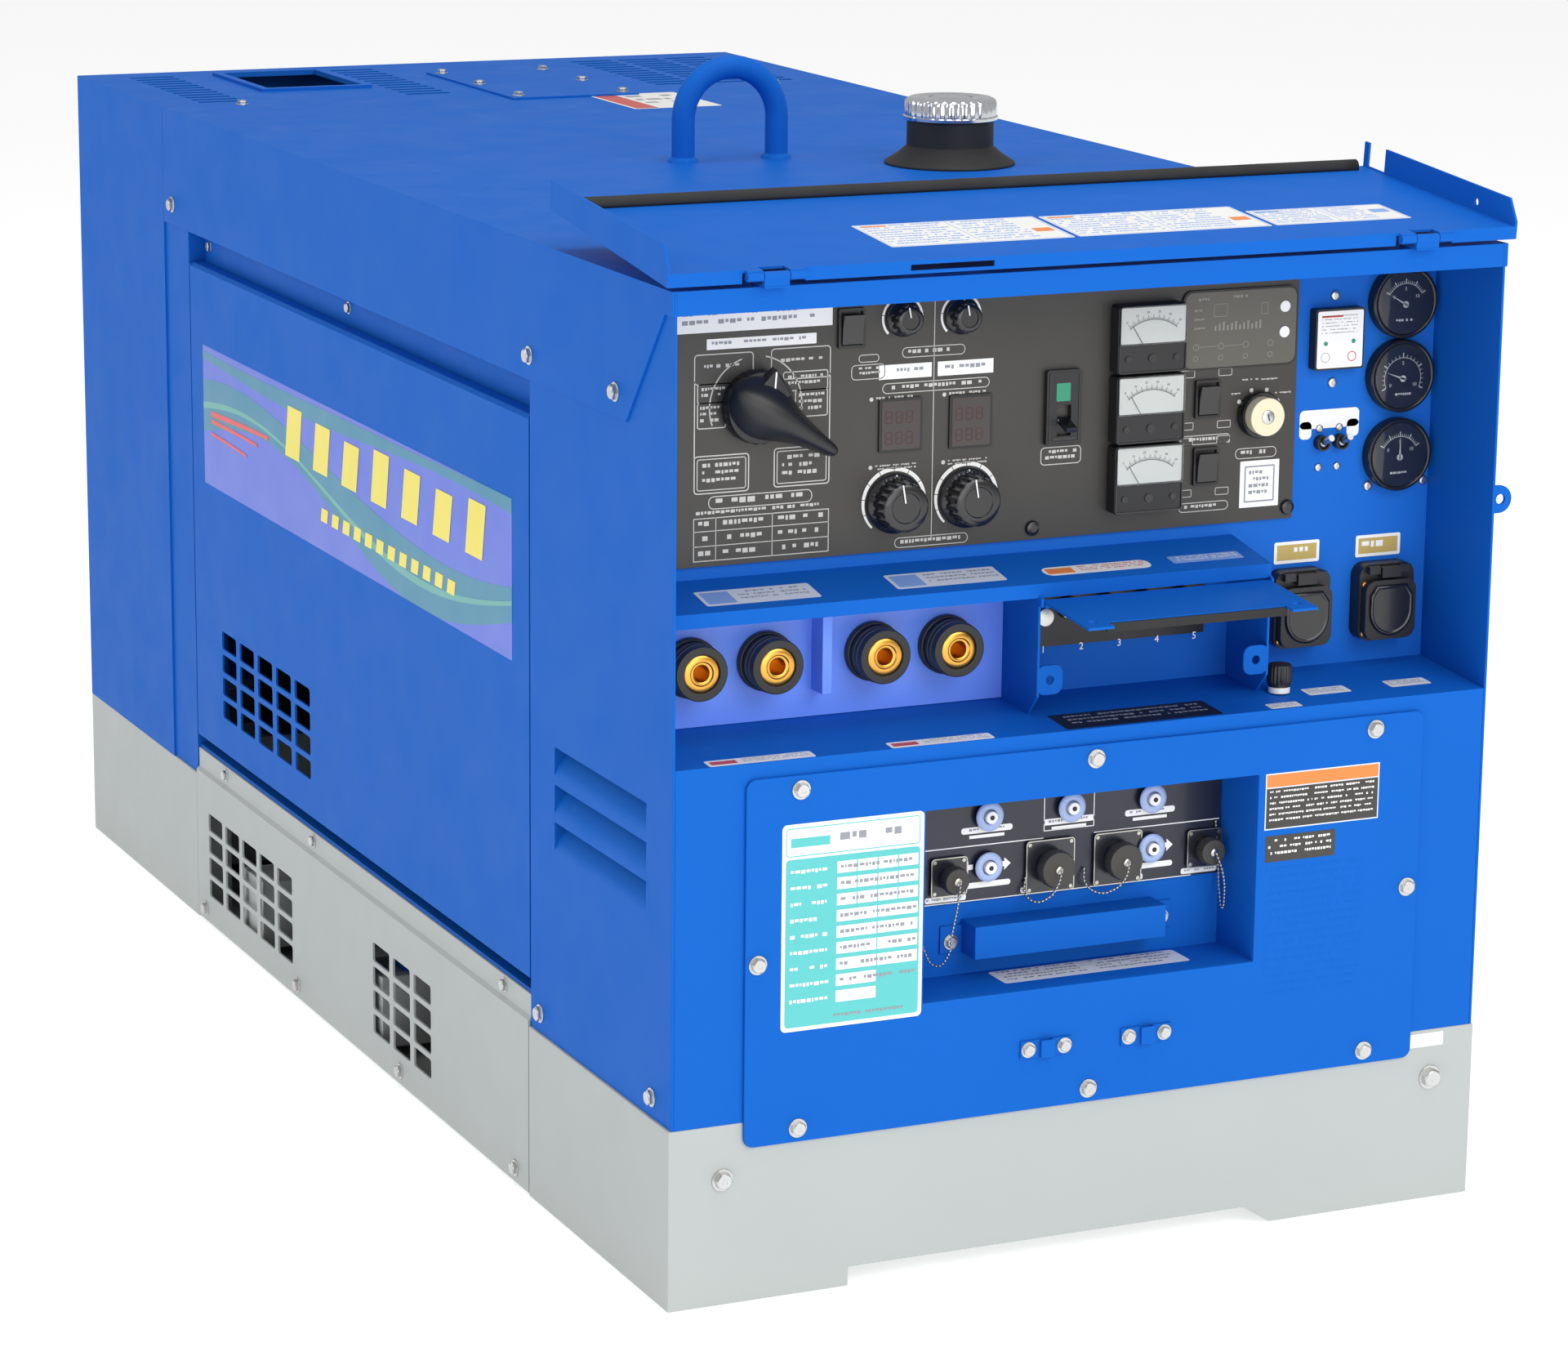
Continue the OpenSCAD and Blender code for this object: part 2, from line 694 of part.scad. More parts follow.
// Black insulating collars of the four welding terminals
module weld_terminals() {
    color(BLACK) for (x = TERM_X) difference() {
        union() {
            rod_y(x, plate_y - term_l, term_z, term_r, term_l);
            rod_y(x, plate_y - 6, term_z, term_r + 2, 6);
        }
        rod_y(x, plate_y - term_l - 1, term_z, socket_r, term_l + 2);
    }
}

// Brass sockets inside the collars
module terminal_sockets() {
    color(BRASS) for (x = TERM_X) difference() {
        rod_y(x, plate_y - term_l + 2, term_z, socket_r, term_l + plate_t - 2);
        rod_y(x, plate_y - term_l + 1, term_z, socket_bore_r, term_l + 2);
    }
}

// Three-phase terminal board with five studs
module ac_terminal_board() {
    board_x0 = bay_x0 + 4;
    board_x1 = bay_x0 + 176;
    stud_pitch = 33;
    color(BLACK) box([board_x0, recess_y - 6, ledge_z + 44], [board_x1, recess_y, ledge_z + 92]);
    color(STEEL) for (i = [0:4]) {
        x = board_x0 + 18 + i * stud_pitch;
        rod_y(x, recess_y - 12, ledge_z + 74, 9, 6);
        rod_y(x, recess_y - 30, ledge_z + 74, 4, 18);
    }
}

// Panel meters, round gauges and their cans behind the plate
module panel_instruments() {
    color(BLACK) {
        for (z = METER_Z) slab_y(METER_X, panel_y - meter_d, z, meter_w, meter_h, meter_d, 3);
        for (z = GAUGE_Z) {
            rod_y(GAUGE_X, recess_y - 9, z, gauge_r, 9);
            rod_y(GAUGE_X, recess_y, z, gauge_r - 3.3, 42);
        }
    }
}

// A rocker switch frame with its well
module rocker_frame_at(p) {
    difference() {
        slab_y(p[0], panel_y - 3, p[1], rocker_w + 2 * rocker_frame + 1, rocker_h + 2 * rocker_frame + 1, 3, 1.5);
        box([p[0] - rocker_w / 2 - 0.4, panel_y - 4, p[1] - rocker_h / 2 - 0.4],
            [p[0] + rocker_w / 2 + 0.4, panel_y + 1, p[1] + rocker_h / 2 + 0.4]);
    }
    for (s = [-1, 1]) rod_x(p[0] + s * (rocker_w / 2 + 0.4) - 0.5, panel_y - 2.1, p[1], 0.7, 1);
}

// Everything fixed on the panels: switch frames, display, digital windows,
// leakage relay, toggle and outlet bodies, the ground post, and the control
// electronics behind the plate
module panel_modules() {
    color(BLACK) {
        for (p = [ROCKER_MODE, ROCKER_IDLE, ROCKER_LAMP]) rocker_frame_at(p);
        difference() {
            slab_y(BREAKER[0], panel_y - 5, BREAKER[1], 30, 58, 5, 2);
            box([BREAKER[0] - 6, panel_y - 6, BREAKER[1] - 22], [BREAKER[0] + 6, panel_y + 1, BREAKER[1] + 2]);
        }
        slab_y(DISPLAY[0], panel_y - 2, DISPLAY[1], display_w, display_h, 2, 8);
        for (p = [WINDOW_A, WINDOW_B]) slab_y(p[0], panel_y - 2, p[1], 36, 41, 2, 1.5);
        for (x = TOGGLE_X) difference() {
            rod_y(x, recess_y - 7, toggle_z, 6, 7);
            rod_y(x, recess_y - 8, toggle_z, toggle_r + 1.9, 9);
        }
        for (x = OUTLET_X) difference() {
            union() {
                slab_y(x, recess_y - outlet_d, outlet_z, outlet_w, outlet_h, outlet_d, 10);
                rod_y(x, recess_y, outlet_z, 20.5, 30);
                for (s = [-1, 1]) box([x + s * 14 - 5, outlet_pin_y - 2.2, outlet_z + outlet_h / 2 - 7],
                    [x + s * 14 + 5, recess_y - outlet_d + 1, outlet_z + outlet_h / 2 - 1]);
                rod_x(x - 18, outlet_pin_y, outlet_z + outlet_h / 2 - 4, outlet_pin_r, 36);
            }
            rod_y(x, recess_y - outlet_d - 1, outlet_z - 4, 19, outlet_d + 11);
        }
        control_box();
    }
    color(CREAM) slab_y(RELAY[0], recess_y - 10, RELAY[1], 44, 48, 10, 2);
    color(BLACK) ground_post();
}

// Control electronics behind the recess panel, on four stand-offs
module control_box() {
    x0 = panel_x0 + 50;
    x1 = panel_x1 - 40;
    z0 = panel_z0 + 12;
    z1 = panel_z1 - 24;
    gap = 14;
    box([x0, recess_y + gap, z0], [x1, recess_y + 92, z1]);
    for (x = [x0 + 10, x1 - 10]) for (z = [z0 + 10, z1 - 10])
        rod_y(x, recess_y + sheet, z, 5, gap);
}

// Ground terminal standing on the ledge
module ground_post() {
    x = hood_x1 + 14;
    y = yf + 38;
    translate([x, y, ledge_top(y) + 0.65]) {
        cylinder(r = 8, h = 5.3);
        translate([0, 0, 5]) cylinder(r = 9, h = 17);
    }
}

// ---- Lower front ----

module front_cover() {
    color(BLUE) difference() {
        translate([0, yf, (cover_bottom + cover_top) / 2]) rotate([90, 0, 0]) linear_extrude(cover_t)
            round_rect(cover_w, cover_top - cover_bottom, 8);
        box([-window_w / 2, yf - cover_t - 1, window_z0], [window_w / 2, yf + 1, window_z1]);
    }
}

// Five-walled sheet box behind the window
module receptacle_box() {
    x = window_w / 2 + box_wall;
    color(DEEP_BLUE) difference() {
        box([-x, yf, window_z0 - box_wall], [x, box_y, window_z1 + box_wall]);
        box([-window_w / 2, yf - 1, window_z0], [window_w / 2, box_y - box_wall, window_z1]);
    }
}

// Dark board with the remote-control receptacle flanges and bodies
module receptacle_board() {
    color(NAVY) difference() {
        union() {
            box([-window_w / 2 + 1, board_y, board_z0], [window_w / 2 - 1, board_y + board_t, window_z1 - 1]);
            for (i = [0:3]) {
                slab_y(REC_X[i], board_y - 2, rec_z, 2.5 * REC_R[i], 2.5 * REC_R[i], 2, 3);
                rod_y(REC_X[i], board_y - 9, rec_z, REC_R[i] - 2.5, 9);
            }
            for (b = BUTTONS) rod_y(b[0], board_y - 5, b[1], btn_r + 3.5, 5);
        }
        for (i = [0:3]) rod_y(REC_X[i], board_y - 10, rec_z, 3 + run_clear, 9);
        for (b = BUTTONS) rod_y(b[0], board_y - 6, b[1], btn_r + run_clear, 8);
    }
}

// Link cover in the window and the hat-shaped cable clamps below it
module front_fittings() {
    link_w = 166;
    link_h = 26;
    link_d = 26;
    clamp_w = 28;
    clamp_z = cover_bottom + 49;
    back = box_y - box_wall;
    link_z = window_z0 + 18;
    color(BLUE) {
        difference() {
            union() {
                box([-link_w / 2, back - link_d, link_z], [link_w / 2, back, link_z + link_h]);
                box([-link_w / 2 - 18, back - sheet, link_z], [link_w / 2 + 18, back, link_z + link_h - 4]);
            }
            box([-link_w / 2 + sheet, back - link_d + sheet, link_z - 1],
                [link_w / 2 - sheet, back + 1, link_z + link_h - sheet]);
        }
        for (x = [-38, 49]) translate([x, yf - cover_t, clamp_z]) {
            w = clamp_w / 2;
            translate([0, 0, -7]) linear_extrude(14) polygon([
                [-w - 8, 0], [-w - 8, -2], [-w + 8, -2], [-w + 8, -5.5], [w - 8, -5.5], [w - 8, -2],
                [w + 8, -2], [w + 8, 0], [w - 10, 0], [w - 10, -3.5], [-w + 10, -3.5], [-w + 10, 0]]);
        }
    }
}

// ---- Fasteners ----

module bolt_front(x, z, y, r = 6) {
    translate([x, y, z]) rotate([90, 0, 0]) bolt_head(r);
}

module bolt_side(y, z, x, r = 6) {
    translate([x, y, z]) rotate([0, 90, 0]) bolt_head(r);
}

// Every exposed bolt, screw and nut on the outside
module body_bolts() {
    cover_y = yf - cover_t;
    mid_z = (cover_bottom + cover_top) / 2;
    row_z = (cover_top - cover_bottom) / 2 - 11;
    flange_z = cover_flange_z1 - 8;
    color(STEEL) {
        for (s = [-1, 0, 1]) for (t = [-1, 1]) bolt_front(s * (cover_w / 2 - 44), mid_z + t * row_z, cover_y);
        for (s = [-1, 1]) bolt_front(s * (cover_w / 2 - 10), mid_z, cover_y);
        for (c = [-38, 49]) for (s = [-1, 1]) bolt_front(c + s * 15.5, cover_bottom + 49, cover_y - sheet, 5);
        for (s = [-1, 1]) bolt_front(s * 92, window_z0 + 27, box_y - box_wall - sheet, 5);
        bolt_front(-hw + 44, base_h - 43, yf, 7);
        bolt_front(hw - 39, base_h - 40, yf, 8);
        both_sides() {
            for (y = [yf + 106, door_y0 - 4, seam_y - 28]) bolt_side(y, skirt_z + 19, hw);
            for (y = [yf + 37, door_y0 - 20]) bolt_side(y, base_h + 16, side_x);
            for (y = [door_y0 + 60, (door_y0 + door_y1) / 2 + 98, door_y1 - 83])
                bolt_side(y, flange_z, cover_x - cover_step + sheet, 5);
            for (i = [0:3]) bolt_side(door_y0 + 30 + i * (door_y1 - door_y0 - 54) / 3, 14, hw, 5.5);
            for (y = [door_y1 - 14, (door_y0 + door_y1) / 2 + 30])
                bolt_side(y, skirt_z - 14, header_x + sheet, 4.5);
            translate([275, seam_y - 12, body_h]) bolt_head(5);
        }
        for (x = PLATE_X) for (i = [0:2])
            translate([x == PLATE_X[0] ? x + 11 : x - 11, plate_y0 + 15 + i * 105, body_h + sheet]) bolt_head(5);
        for (x = [-300, 300]) for (z = [base_h + 30, body_h - 130])
            translate([x, yr, z]) rotate([-90, 0, 0]) bolt_head(5);
        for (z = [RELAY[1] + 33, RELAY[1] - 36]) rod_y(RELAY[0], recess_y - 2, z, 4, 2);
        for (x = [panel_x0 + 335, panel_x0 + 560]) rod_y(x, panel_y - 5, panel_z0 + 9, 6, 5);
    }
}

// ---- Lifting and fuel ----

// Lifting bow, its beam under the roof and the two posts down to the base
module lifting_frame() {
    color(BLUE) union() {
        translate([bow_x, bow_y, bow_z]) rotate([90, 0, 0])
            rotate_extrude(angle = 180) translate([bow_c, 0]) circle(r = bar_d / 2);
        for (s = [-1, 1]) translate([bow_x + s * bow_c, bow_y, beam_top - 2])
            cylinder(r = bar_d / 2, h = bow_z - beam_top + 2);
        box([-post_x0 - post_w, bow_y - 20, beam_top - beam_h], [post_x0 + post_w, bow_y + 20, beam_top]);
        both_sides() box([post_x0, bow_y - 20, cross_top], [post_x0 + post_w, bow_y + 20, beam_top - 1]);
    }
}

module fuel_tank() {
    boot_r = neck_r + 19;
    color(BLACK) union() {
        difference() {
            union() {
                box([tank_x0, tank_y0, tank_z0], [tank_x1, tank_y1, tank_z1]);
                box([tank_x0 + 20, bow_y - 20, tank_z1 - 1], [tank_x1 - 20, bow_y + 20, beam_top - beam_h]);
                translate([fill_x, fill_y, tank_z1 - 1]) cylinder(r = neck_r, h = neck_top - tank_z1 + 1);
                // flared rubber boot on the roof
                translate([fill_x, fill_y, body_h]) rotate_extrude()
                    polygon([[neck_r - 1, 0], [boot_r, 0], [boot_r, 2], [neck_r + 8, 9], [neck_r, 16], [neck_r - 1, 16]]);
            }
            translate([fill_x, fill_y, tank_z1 - 40]) cylinder(r = plug_r + run_clear, h = neck_top - tank_z1 + 41);
            translate([tank_x0 + 3, tank_y0 + 3, tank_z0 + 3])
                cube([tank_x1 - tank_x0 - 6, tank_y1 - tank_y0 - 6, tank_z1 - tank_z0 - 6]);
        }
    }
}

// Chromed cap: turns a quarter to lift off
module fuel_cap() {
    color(STEEL) translate([fill_x, fill_y, neck_top + small_gap]) union() {
        cylinder(r = cap_r, h = cap_h - 4);
        translate([0, 0, cap_h - 4]) cylinder(r1 = cap_r, r2 = cap_r - 7, h = 4, $fn = 48);
        translate([0, 0, -18]) cylinder(r = plug_r, h = 19);
    }
}

// ---- Power unit ----

module engine_block() {
    head_z = crank_z + 130;
    color(IRON) difference() {
        union() {
            box([-block_hw, block_y0 + 30, crank_z - 120], [block_hw, block_y1, head_z]);
            box([-block_hw - 30, block_y0, crank_z - 150], [block_hw + 30, block_y0 + 30, crank_z + 150]);
            box([-block_hw + 10, block_y0 + 50, head_z], [block_hw - 10, block_y1 - 10, head_top]);
            box([-50, block_y0 + 60, head_top], [50, block_y1 - 30, head_top + 30]);
            box([-block_hw + 15, block_y0 + 40, crank_z - 185], [block_hw - 15, block_y1 - 20, crank_z - 120]);
            box([-mount_x - mount_r, MOUNT_Y[1] - 30, cross_top + mount_h],
                [mount_x + mount_r, MOUNT_Y[1] + 30, cross_top + mount_h + foot_t]);
        }
        rod_y(0, block_y0 - 1, crank_z, crank_r + run_clear, block_l + 2);
        rod_y(0, block_y0 - 1, crank_z, gen_r - 8, 25);
    }
}

// Air cleaner, starter, oil filter and battery round the engine
module engine_ancillaries() {
    clean_r = 55;
    clean_x = -block_hw + 12;
    clean_z = head_top + clean_r;
    color(BLACK) {
        rod_y(clean_x, block_y0 + 120, clean_z, clean_r, 220);
        rod_y(-block_hw - 38, block_y0 + 60, crank_z + 20, 38, 150);
        translate([block_hw, block_y0 + 200, crank_z - 60]) rotate([0, 90, 0]) cylinder(r = 36, h = 70);
        box([-hw + 25, yf + flange_w + 10, base_h], [-hw + 185, yf + flange_w + 180, base_h + 205]);
    }
}

// Rubber mounts between the crossmembers and the power unit
module engine_mounts() {
    color(BLACK) for (y = MOUNT_Y) for (s = [-1, 1])
        translate([s * mount_x, y, cross_top]) cylinder(r = mount_r, h = mount_h);
}

// Radiator core with its tanks and the fan shroud
module radiator() {
    y0 = rad_y0;
    color(BLACK) difference() {
        union() {
            box([-rad_hw, y0, rad_z0], [rad_hw, y0 + rad_d, rad_z1]);
            box([-rad_hw, y0 - shroud_l, rad_z0 + 10], [rad_hw, y0, rad_z1 - 10]);
        }
        box([-rad_hw + 4, y0 - shroud_l + 4, rad_z0 + 14], [rad_hw - 4, y0 - 1, rad_z1 - 14]);
        rod_y(0, y0 - shroud_l - 1, crank_z, fan_r - 4, 6);
    }
}

// Muffler with its inlet pipe from the engine and its tail pipe to the roof
module muffler() {
    pipe_r = 22;
    port_x = block_hw + 40;
    port_y = block_y0 + 180;
    port_z = head_top - 32;
    high_z = rad_z1 + 12 + pipe_r;
    color(IRON) union() {
        rod_x(-250, muffler_y, muffler_z, muffler_r, 430);
        translate([tail_x, tail_y, muffler_z]) cylinder(r = tail_r, h = roof_in - 12 - muffler_z);
        rod_x(block_hw - 10, port_y, port_z, pipe_r, 50);
        translate([port_x, port_y, port_z]) sphere(r = pipe_r);
        translate([port_x, port_y, port_z]) cylinder(r = pipe_r, h = high_z - port_z);
        translate([port_x, port_y, high_z]) sphere(r = pipe_r);
        rod_y(port_x, port_y, high_z, pipe_r, muffler_y - port_y);
        for (x = [-210, 120]) box([x, rad_y0 + rad_d, muffler_z - 20], [x + 20, muffler_y, muffler_z - 4]);
    }
}

// Generator housing with its feet, and the welding reactor on the base tray
module generator_housing() {
    color(GREY) difference() {
        union() {
            rod_y(0, gen_y0, crank_z, gen_r, gen_l);
            box([-mount_x - mount_r, MOUNT_Y[0] - 30, cross_top + mount_h],
                [mount_x + mount_r, MOUNT_Y[0] + 30, cross_top + mount_h + foot_t]);
            for (s = [-1, 1]) box([s * 90 - 15, MOUNT_Y[0] - 25, cross_top + mount_h],
                [s * 90 + 15, MOUNT_Y[0] + 25, crank_z - 60]);
        }
        rod_y(0, gen_y0 + 20, crank_z, gen_r - gen_wall, gen_l);
        rod_y(0, gen_y0 - 1, crank_z, crank_r + run_clear, 30);
    }
    color(IRON) box([hw - 185, yf + flange_w + 10, base_h], [hw - 35, yf + flange_w + 170, base_h + 185]);
}

// Everything on the crankshaft: rotor, flywheel disc and cooling fan
module rotor_shaft() {
    shaft_y0 = gen_y0 - 15;
    hub_r = 46;
    color(STEEL) union() {
        rod_y(0, shaft_y0, crank_z, crank_r, fan_y - shaft_y0);
        rod_y(0, gen_y0 + 40, crank_z, gen_r - gen_wall - rotor_gap, gen_l - 90);
        rod_y(0, block_y0 - 14, crank_z, gen_r - gen_wall - rotor_gap, 30);
        rod_y(0, fan_y - fan_t / 2, crank_z, hub_r, fan_t);
        for (i = [0:fan_blades - 1]) translate([0, fan_y, crank_z]) rotate([0, i * 360 / fan_blades, 0])
            translate([0, 0, hub_r - 4]) rotate([0, 0, 30])
                translate([-34, -1.5, 0]) cube([68, 3, fan_r - hub_r - 8]);
    }
}

// ---- Lid ----

// Places children in the lid's frame: +Y along the lid from its hinge axis,
// +Z out of its inner face
module lid_frame() {
    translate([0, hinge_y, hinge_z]) rotate([lid_tilt, 0, 0]) children();
}

// Fixed hinge halves on the roof, each with its pin
module lid_hinges() {
    leaf_t = 1.2;
    color(BLUE) both_sides() translate([hinge_x, 0, 0]) union() {
        box([-barrel_l / 2, yf - 9, body_h], [barrel_l / 2, yf + 16, body_h + leaf_t]);
        box([-barrel_l / 2, hinge_y - 2.5, body_h], [barrel_l / 2, hinge_y + 2, hinge_z - 1]);
        rod_x(-barrel_l / 2, hinge_y, hinge_z, barrel_r, barrel_l);
        rod_x(-barrel_l / 2 - eye_l, hinge_y, hinge_z, lid_pin_r, barrel_l + 2 * eye_l);
    }
}

// Control lid, lying open on the roof: sheet, side flanges, apron and hinge eyes
module control_lid() {
    notch = barrel_l / 2 + eye_l + 2;
    lug_at = hinge_z - lug_z;
    top = lid_b0 + lid_flange_h;
    color(BLUE) lid_frame() difference() {
        union() {
            box([-lid_out, 3, lid_b0], [lid_out, lid_l, lid_b1]);
            both_sides() plate_x(lid_out - sheet, sheet, [[3, apron_b], [lid_l, lid_b0], [lid_l, top], [14, top], [3, 8]]);
            both_sides() plate_x(lid_out - sheet, sheet, [[3, apron_b], [5, apron_b], [5, lid_b1], [3, lid_b1]]);
            difference() {
                box([-lid_out, 3, apron_b], [lid_out, 5, lid_b1]);
                both_sides() box([hinge_x - notch, 2, apron_b - 1], [hinge_x + notch, 6, lid_b0 + 0.01]);
                box([-163, 2, -3], [-95, 6, 1.5]);
            }
            both_sides() for (s = [-1, 1]) {
                x0 = hinge_x + (s < 0 ? -barrel_l / 2 - eye_l : barrel_l / 2 + 0.5);
                rod_x(x0, 0, 0, barrel_r, eye_l - 0.5);
                box([x0, -1, lid_b0 - 0.6], [x0 + eye_l - 0.5, 4, lid_b1]);
            }
        }
        both_sides() rod_x(hinge_x - notch, 0, 0, lid_pin_r + run_clear, 2 * notch);
        // room for the fixed barrel's web
        both_sides() box([hinge_x - barrel_l / 2 - 0.4, 2, apron_b - 1], [hinge_x + barrel_l / 2 + 0.4, 10.5, lid_b1 + 1]);
        // notch for the padlock lug
        box([lid_out - sheet - 1, lug_at - lug_h / 2 - 2, lid_b1 + 1],
            [lid_out + 1, lug_at + lug_h / 2 + 2, top + 1]);
        rod_x(hw - 4, 60, lid_b0 + 9, 3, 12);
    }
}

// Foam strip along the lid's free edge
module lid_seal() {
    color(BLACK) lid_frame() box([-lid_out + 9, lid_l - 16, lid_b1], [lid_out - 9, lid_l - 2, lid_b1 + 8]);
}

// ---- Side doors ----

module side_door() {
    y0 = door_y0 + door_gap;
    y1 = door_y1 - door_gap;
    difference() {
        union() {
            bar_y(y0, y1 - y0, [[in_x, door_z0], [side_x, door_z0], [side_x, door_z1 - 3], [side_x - 3, door_z1],
                [side_x - door_lip, door_z1], [side_x - door_lip, door_z1 - sheet],
                [in_x, door_z1 - sheet]]);
            for (y = [y0, y1 - sheet])
                box([side_x - door_return, y, door_z0 + 24], [side_x, y + sheet, door_z1 - 1]);
            for (y = DOOR_HINGES) {
                rod_y(door_axis_x, y - door_eye_l / 2, door_axis_z, door_eye_r, door_eye_l);
                box([door_axis_x + 1, y - door_eye_l / 2, door_axis_z - 2],
                    [in_x + 0.5, y + door_eye_l / 2, door_axis_z + 2]);
            }
        }
        for (y = DOOR_HINGES)
            rod_y(door_axis_x, y - door_eye_l / 2 - 1, door_axis_z, door_pin_r + run_clear, door_eye_l + 2);
        vent_holes(in_x - 3, door_y1 - 338, door_z0 + 31, vent_cols, 4, 52.4, 22);
    }
}

module side_door_right() {
    color(BLUE) side_door();
}

module side_door_left() {
    color(BLUE) mirror([1, 0, 0]) side_door();
}

// ---- Three-phase flap, raised ----

module terminal_flap() {
    lip_x0 = flap_x0 + ear_w + 4;
    lip_x1 = flap_x1 - ear_w - 4;
    screw_x = flap_x1 - ear_w / 2;
    hole_at = flap_z - ear_z;
    color(BLUE) translate([0, flap_y, flap_z]) rotate([flap_tilt, 0, 0]) difference() {
        union() {
            box([flap_x0, -flap_l, flap_eye_r - sheet], [flap_x0 + ear_w, 0, flap_eye_r]);
            box([flap_x1 - ear_w, -flap_l, flap_eye_r - sheet], [flap_x1, 0, flap_eye_r]);
            box([flap_x0, -flap_lip_at, flap_eye_r - sheet], [flap_x1, 0, flap_eye_r]);
            box([lip_x0, -flap_lip_at, -flap_lip_h + flap_eye_r], [lip_x1, -flap_lip_at + sheet, flap_eye_r]);
            rod_x(flap_x0 + 1, 0, 0, flap_eye_r, flap_x1 - flap_x0 - 2);
        }
        rod_x(flap_x0 - 1, 0, 0, flap_pin_r + run_clear, flap_x1 - flap_x0 + 2);
        for (x = [flap_x0 + ear_w / 2, screw_x])
            translate([x, -hole_at, 0]) cylinder(r = ear_hole_r, h = 5);
    }
}

// ---- Knobs and switches ----

// A knob on its shaft, through the panel
module knob(p, r, l, skirt_r) {
    union() {
        rod_y(p[0], panel_y - knob_lift - l, p[1], r, l);
        rod_y(p[0], panel_y - knob_lift - 4, p[1], skirt_r, 4);
        rod_y(p[0], panel_y - knob_lift - 1, p[1], shaft_r, panel_t + sheet + 8);
        // pointer line
        box([p[0] - 0.8, panel_y - knob_lift - l - 0.6, p[1] + r * 0.3], [p[0] + 0.8, panel_y - knob_lift - l, p[1] + r * 0.95]);
    }
}

// Mode selector: a drum with a long grip bar
module mode_selector() {
    grip_l = 68;
    drum_r = 30;
    drum_l = 26;
    angle = 32;
    front = panel_y - knob_lift;
    color(BLACK) union() {
        rod_y(SELECTOR[0], front - drum_l, SELECTOR[1], drum_r, drum_l);
        rod_y(SELECTOR[0], front - 1, SELECTOR[1], shaft_r, panel_t + sheet + 8);
        translate([SELECTOR[0], front - drum_l + 2, SELECTOR[1]]) rotate([0, angle, 0]) rotate([90, 0, 0])
            linear_extrude(18) polygon([[-32, -4], [-26, -9], [grip_l - 20, -10], [grip_l, -6],
                [grip_l, 6], [grip_l - 20, 10], [-26, 9], [-32, 4]]);
    }
}

module current_knob_a() { color(BLACK) knob(CURRENT_A, big_knob_r - 3, 22, big_knob_r); }
module current_knob_b() { color(BLACK) knob(CURRENT_B, big_knob_r - 3, 22, big_knob_r); }
module arc_knob_a() { color(BLACK) knob(ARC_A, small_knob_r - 2, 15, small_knob_r); }
module arc_knob_b() { color(BLACK) knob(ARC_B, small_knob_r - 2, 15, small_knob_r); }

// A rocker that tips about a cross axis at the panel's face
module rocker(p) {
    color(BLACK) translate([p[0], panel_y - 2.1, p[1]]) rotate([rocker_tilt, 0, 0]) difference() {
        plate_x(-rocker_w / 2, rocker_w, [[1.4, -4], [-1.2, -rocker_h / 2 + 1.2], [-4.2, -rocker_h / 2 + 1.2],
            [-3, 0], [-4.2, rocker_h / 2 - 1.2], [-1.2, rocker_h / 2 - 1.2], [1.4, 4]]);
        for (s = [-1, 1]) rod_x(s * rocker_w / 2 - 0.6, 0, 0, 0.7 + run_clear, 1.2);
    }
}

module rocker_mode() { rocker(ROCKER_MODE); }
module rocker_idle() { rocker(ROCKER_IDLE); }
module rocker_lamp() { rocker(ROCKER_LAMP); }

// Main breaker's lever in its slot, down at rest
module breaker_lever() {
    color(BLACK) translate([BREAKER[0], panel_y - 3, BREAKER[1] - 10]) rotate([20, 0, 0]) union() {
        rod_x(-5.6, 0, 0, 2.4, 11.2);
        box([-4.5, -16, -2], [4.5, 0, 2]);
    }
}

// Key switch: cream turning disc with the key's bow slot
module key_switch() {
    color(CREAM) difference() {
        union() {
            rod_y(KEY[0], panel_y - knob_lift - 16, KEY[1], 15, 16);
            rod_y(KEY[0], panel_y - knob_lift - 1, KEY[1], shaft_r, panel_t + sheet + 8);
        }
        box([KEY[0] - 1, panel_y - knob_lift - 17, KEY[1] - 5], [KEY[0] + 1, panel_y - knob_lift - 10, KEY[1] + 5]);
    }
}

// A toggle bat on its ball
module toggle(x) {
    color(STEEL) translate([x, recess_y - 4.4, toggle_z]) rotate([-toggle_tilt, 0, 0]) union() {
        sphere(r = toggle_r + 1.3);
        rod_y(0, -toggle_len, 0, toggle_r, toggle_len);
    }
}

module toggle_a() { toggle(TOGGLE_X[0]); }
module toggle_b() { toggle(TOGGLE_X[1]); }

// A sprung outlet lid, hinged along its top edge
module outlet_lid(x) {
    pin_z = outlet_z + outlet_h / 2 - 4;
    face = recess_y - outlet_d - small_gap;
    color(BLACK) difference() {
        union() {
            slab_y(x, face - outlet_lid_t, outlet_z - 5, outlet_w - 4, outlet_h - 14, outlet_lid_t, 9);
            box([x - 8.5, face - outlet_lid_t, pin_z - 6], [x + 8.5, face - 0.8, pin_z + 2.4]);
        }
        rod_x(x - 20, outlet_pin_y, pin_z, outlet_pin_r + run_clear, 40);
        for (s = [-1, 1]) box([x + s * 14 - 5.4, outlet_pin_y - 5, pin_z - 4], [x + s * 14 + 5.4, face + 1, pin_z + 5]);
    }
}

module outlet_lid_a() { outlet_lid(OUTLET_X[0]); }
module outlet_lid_b() { outlet_lid(OUTLET_X[1]); }

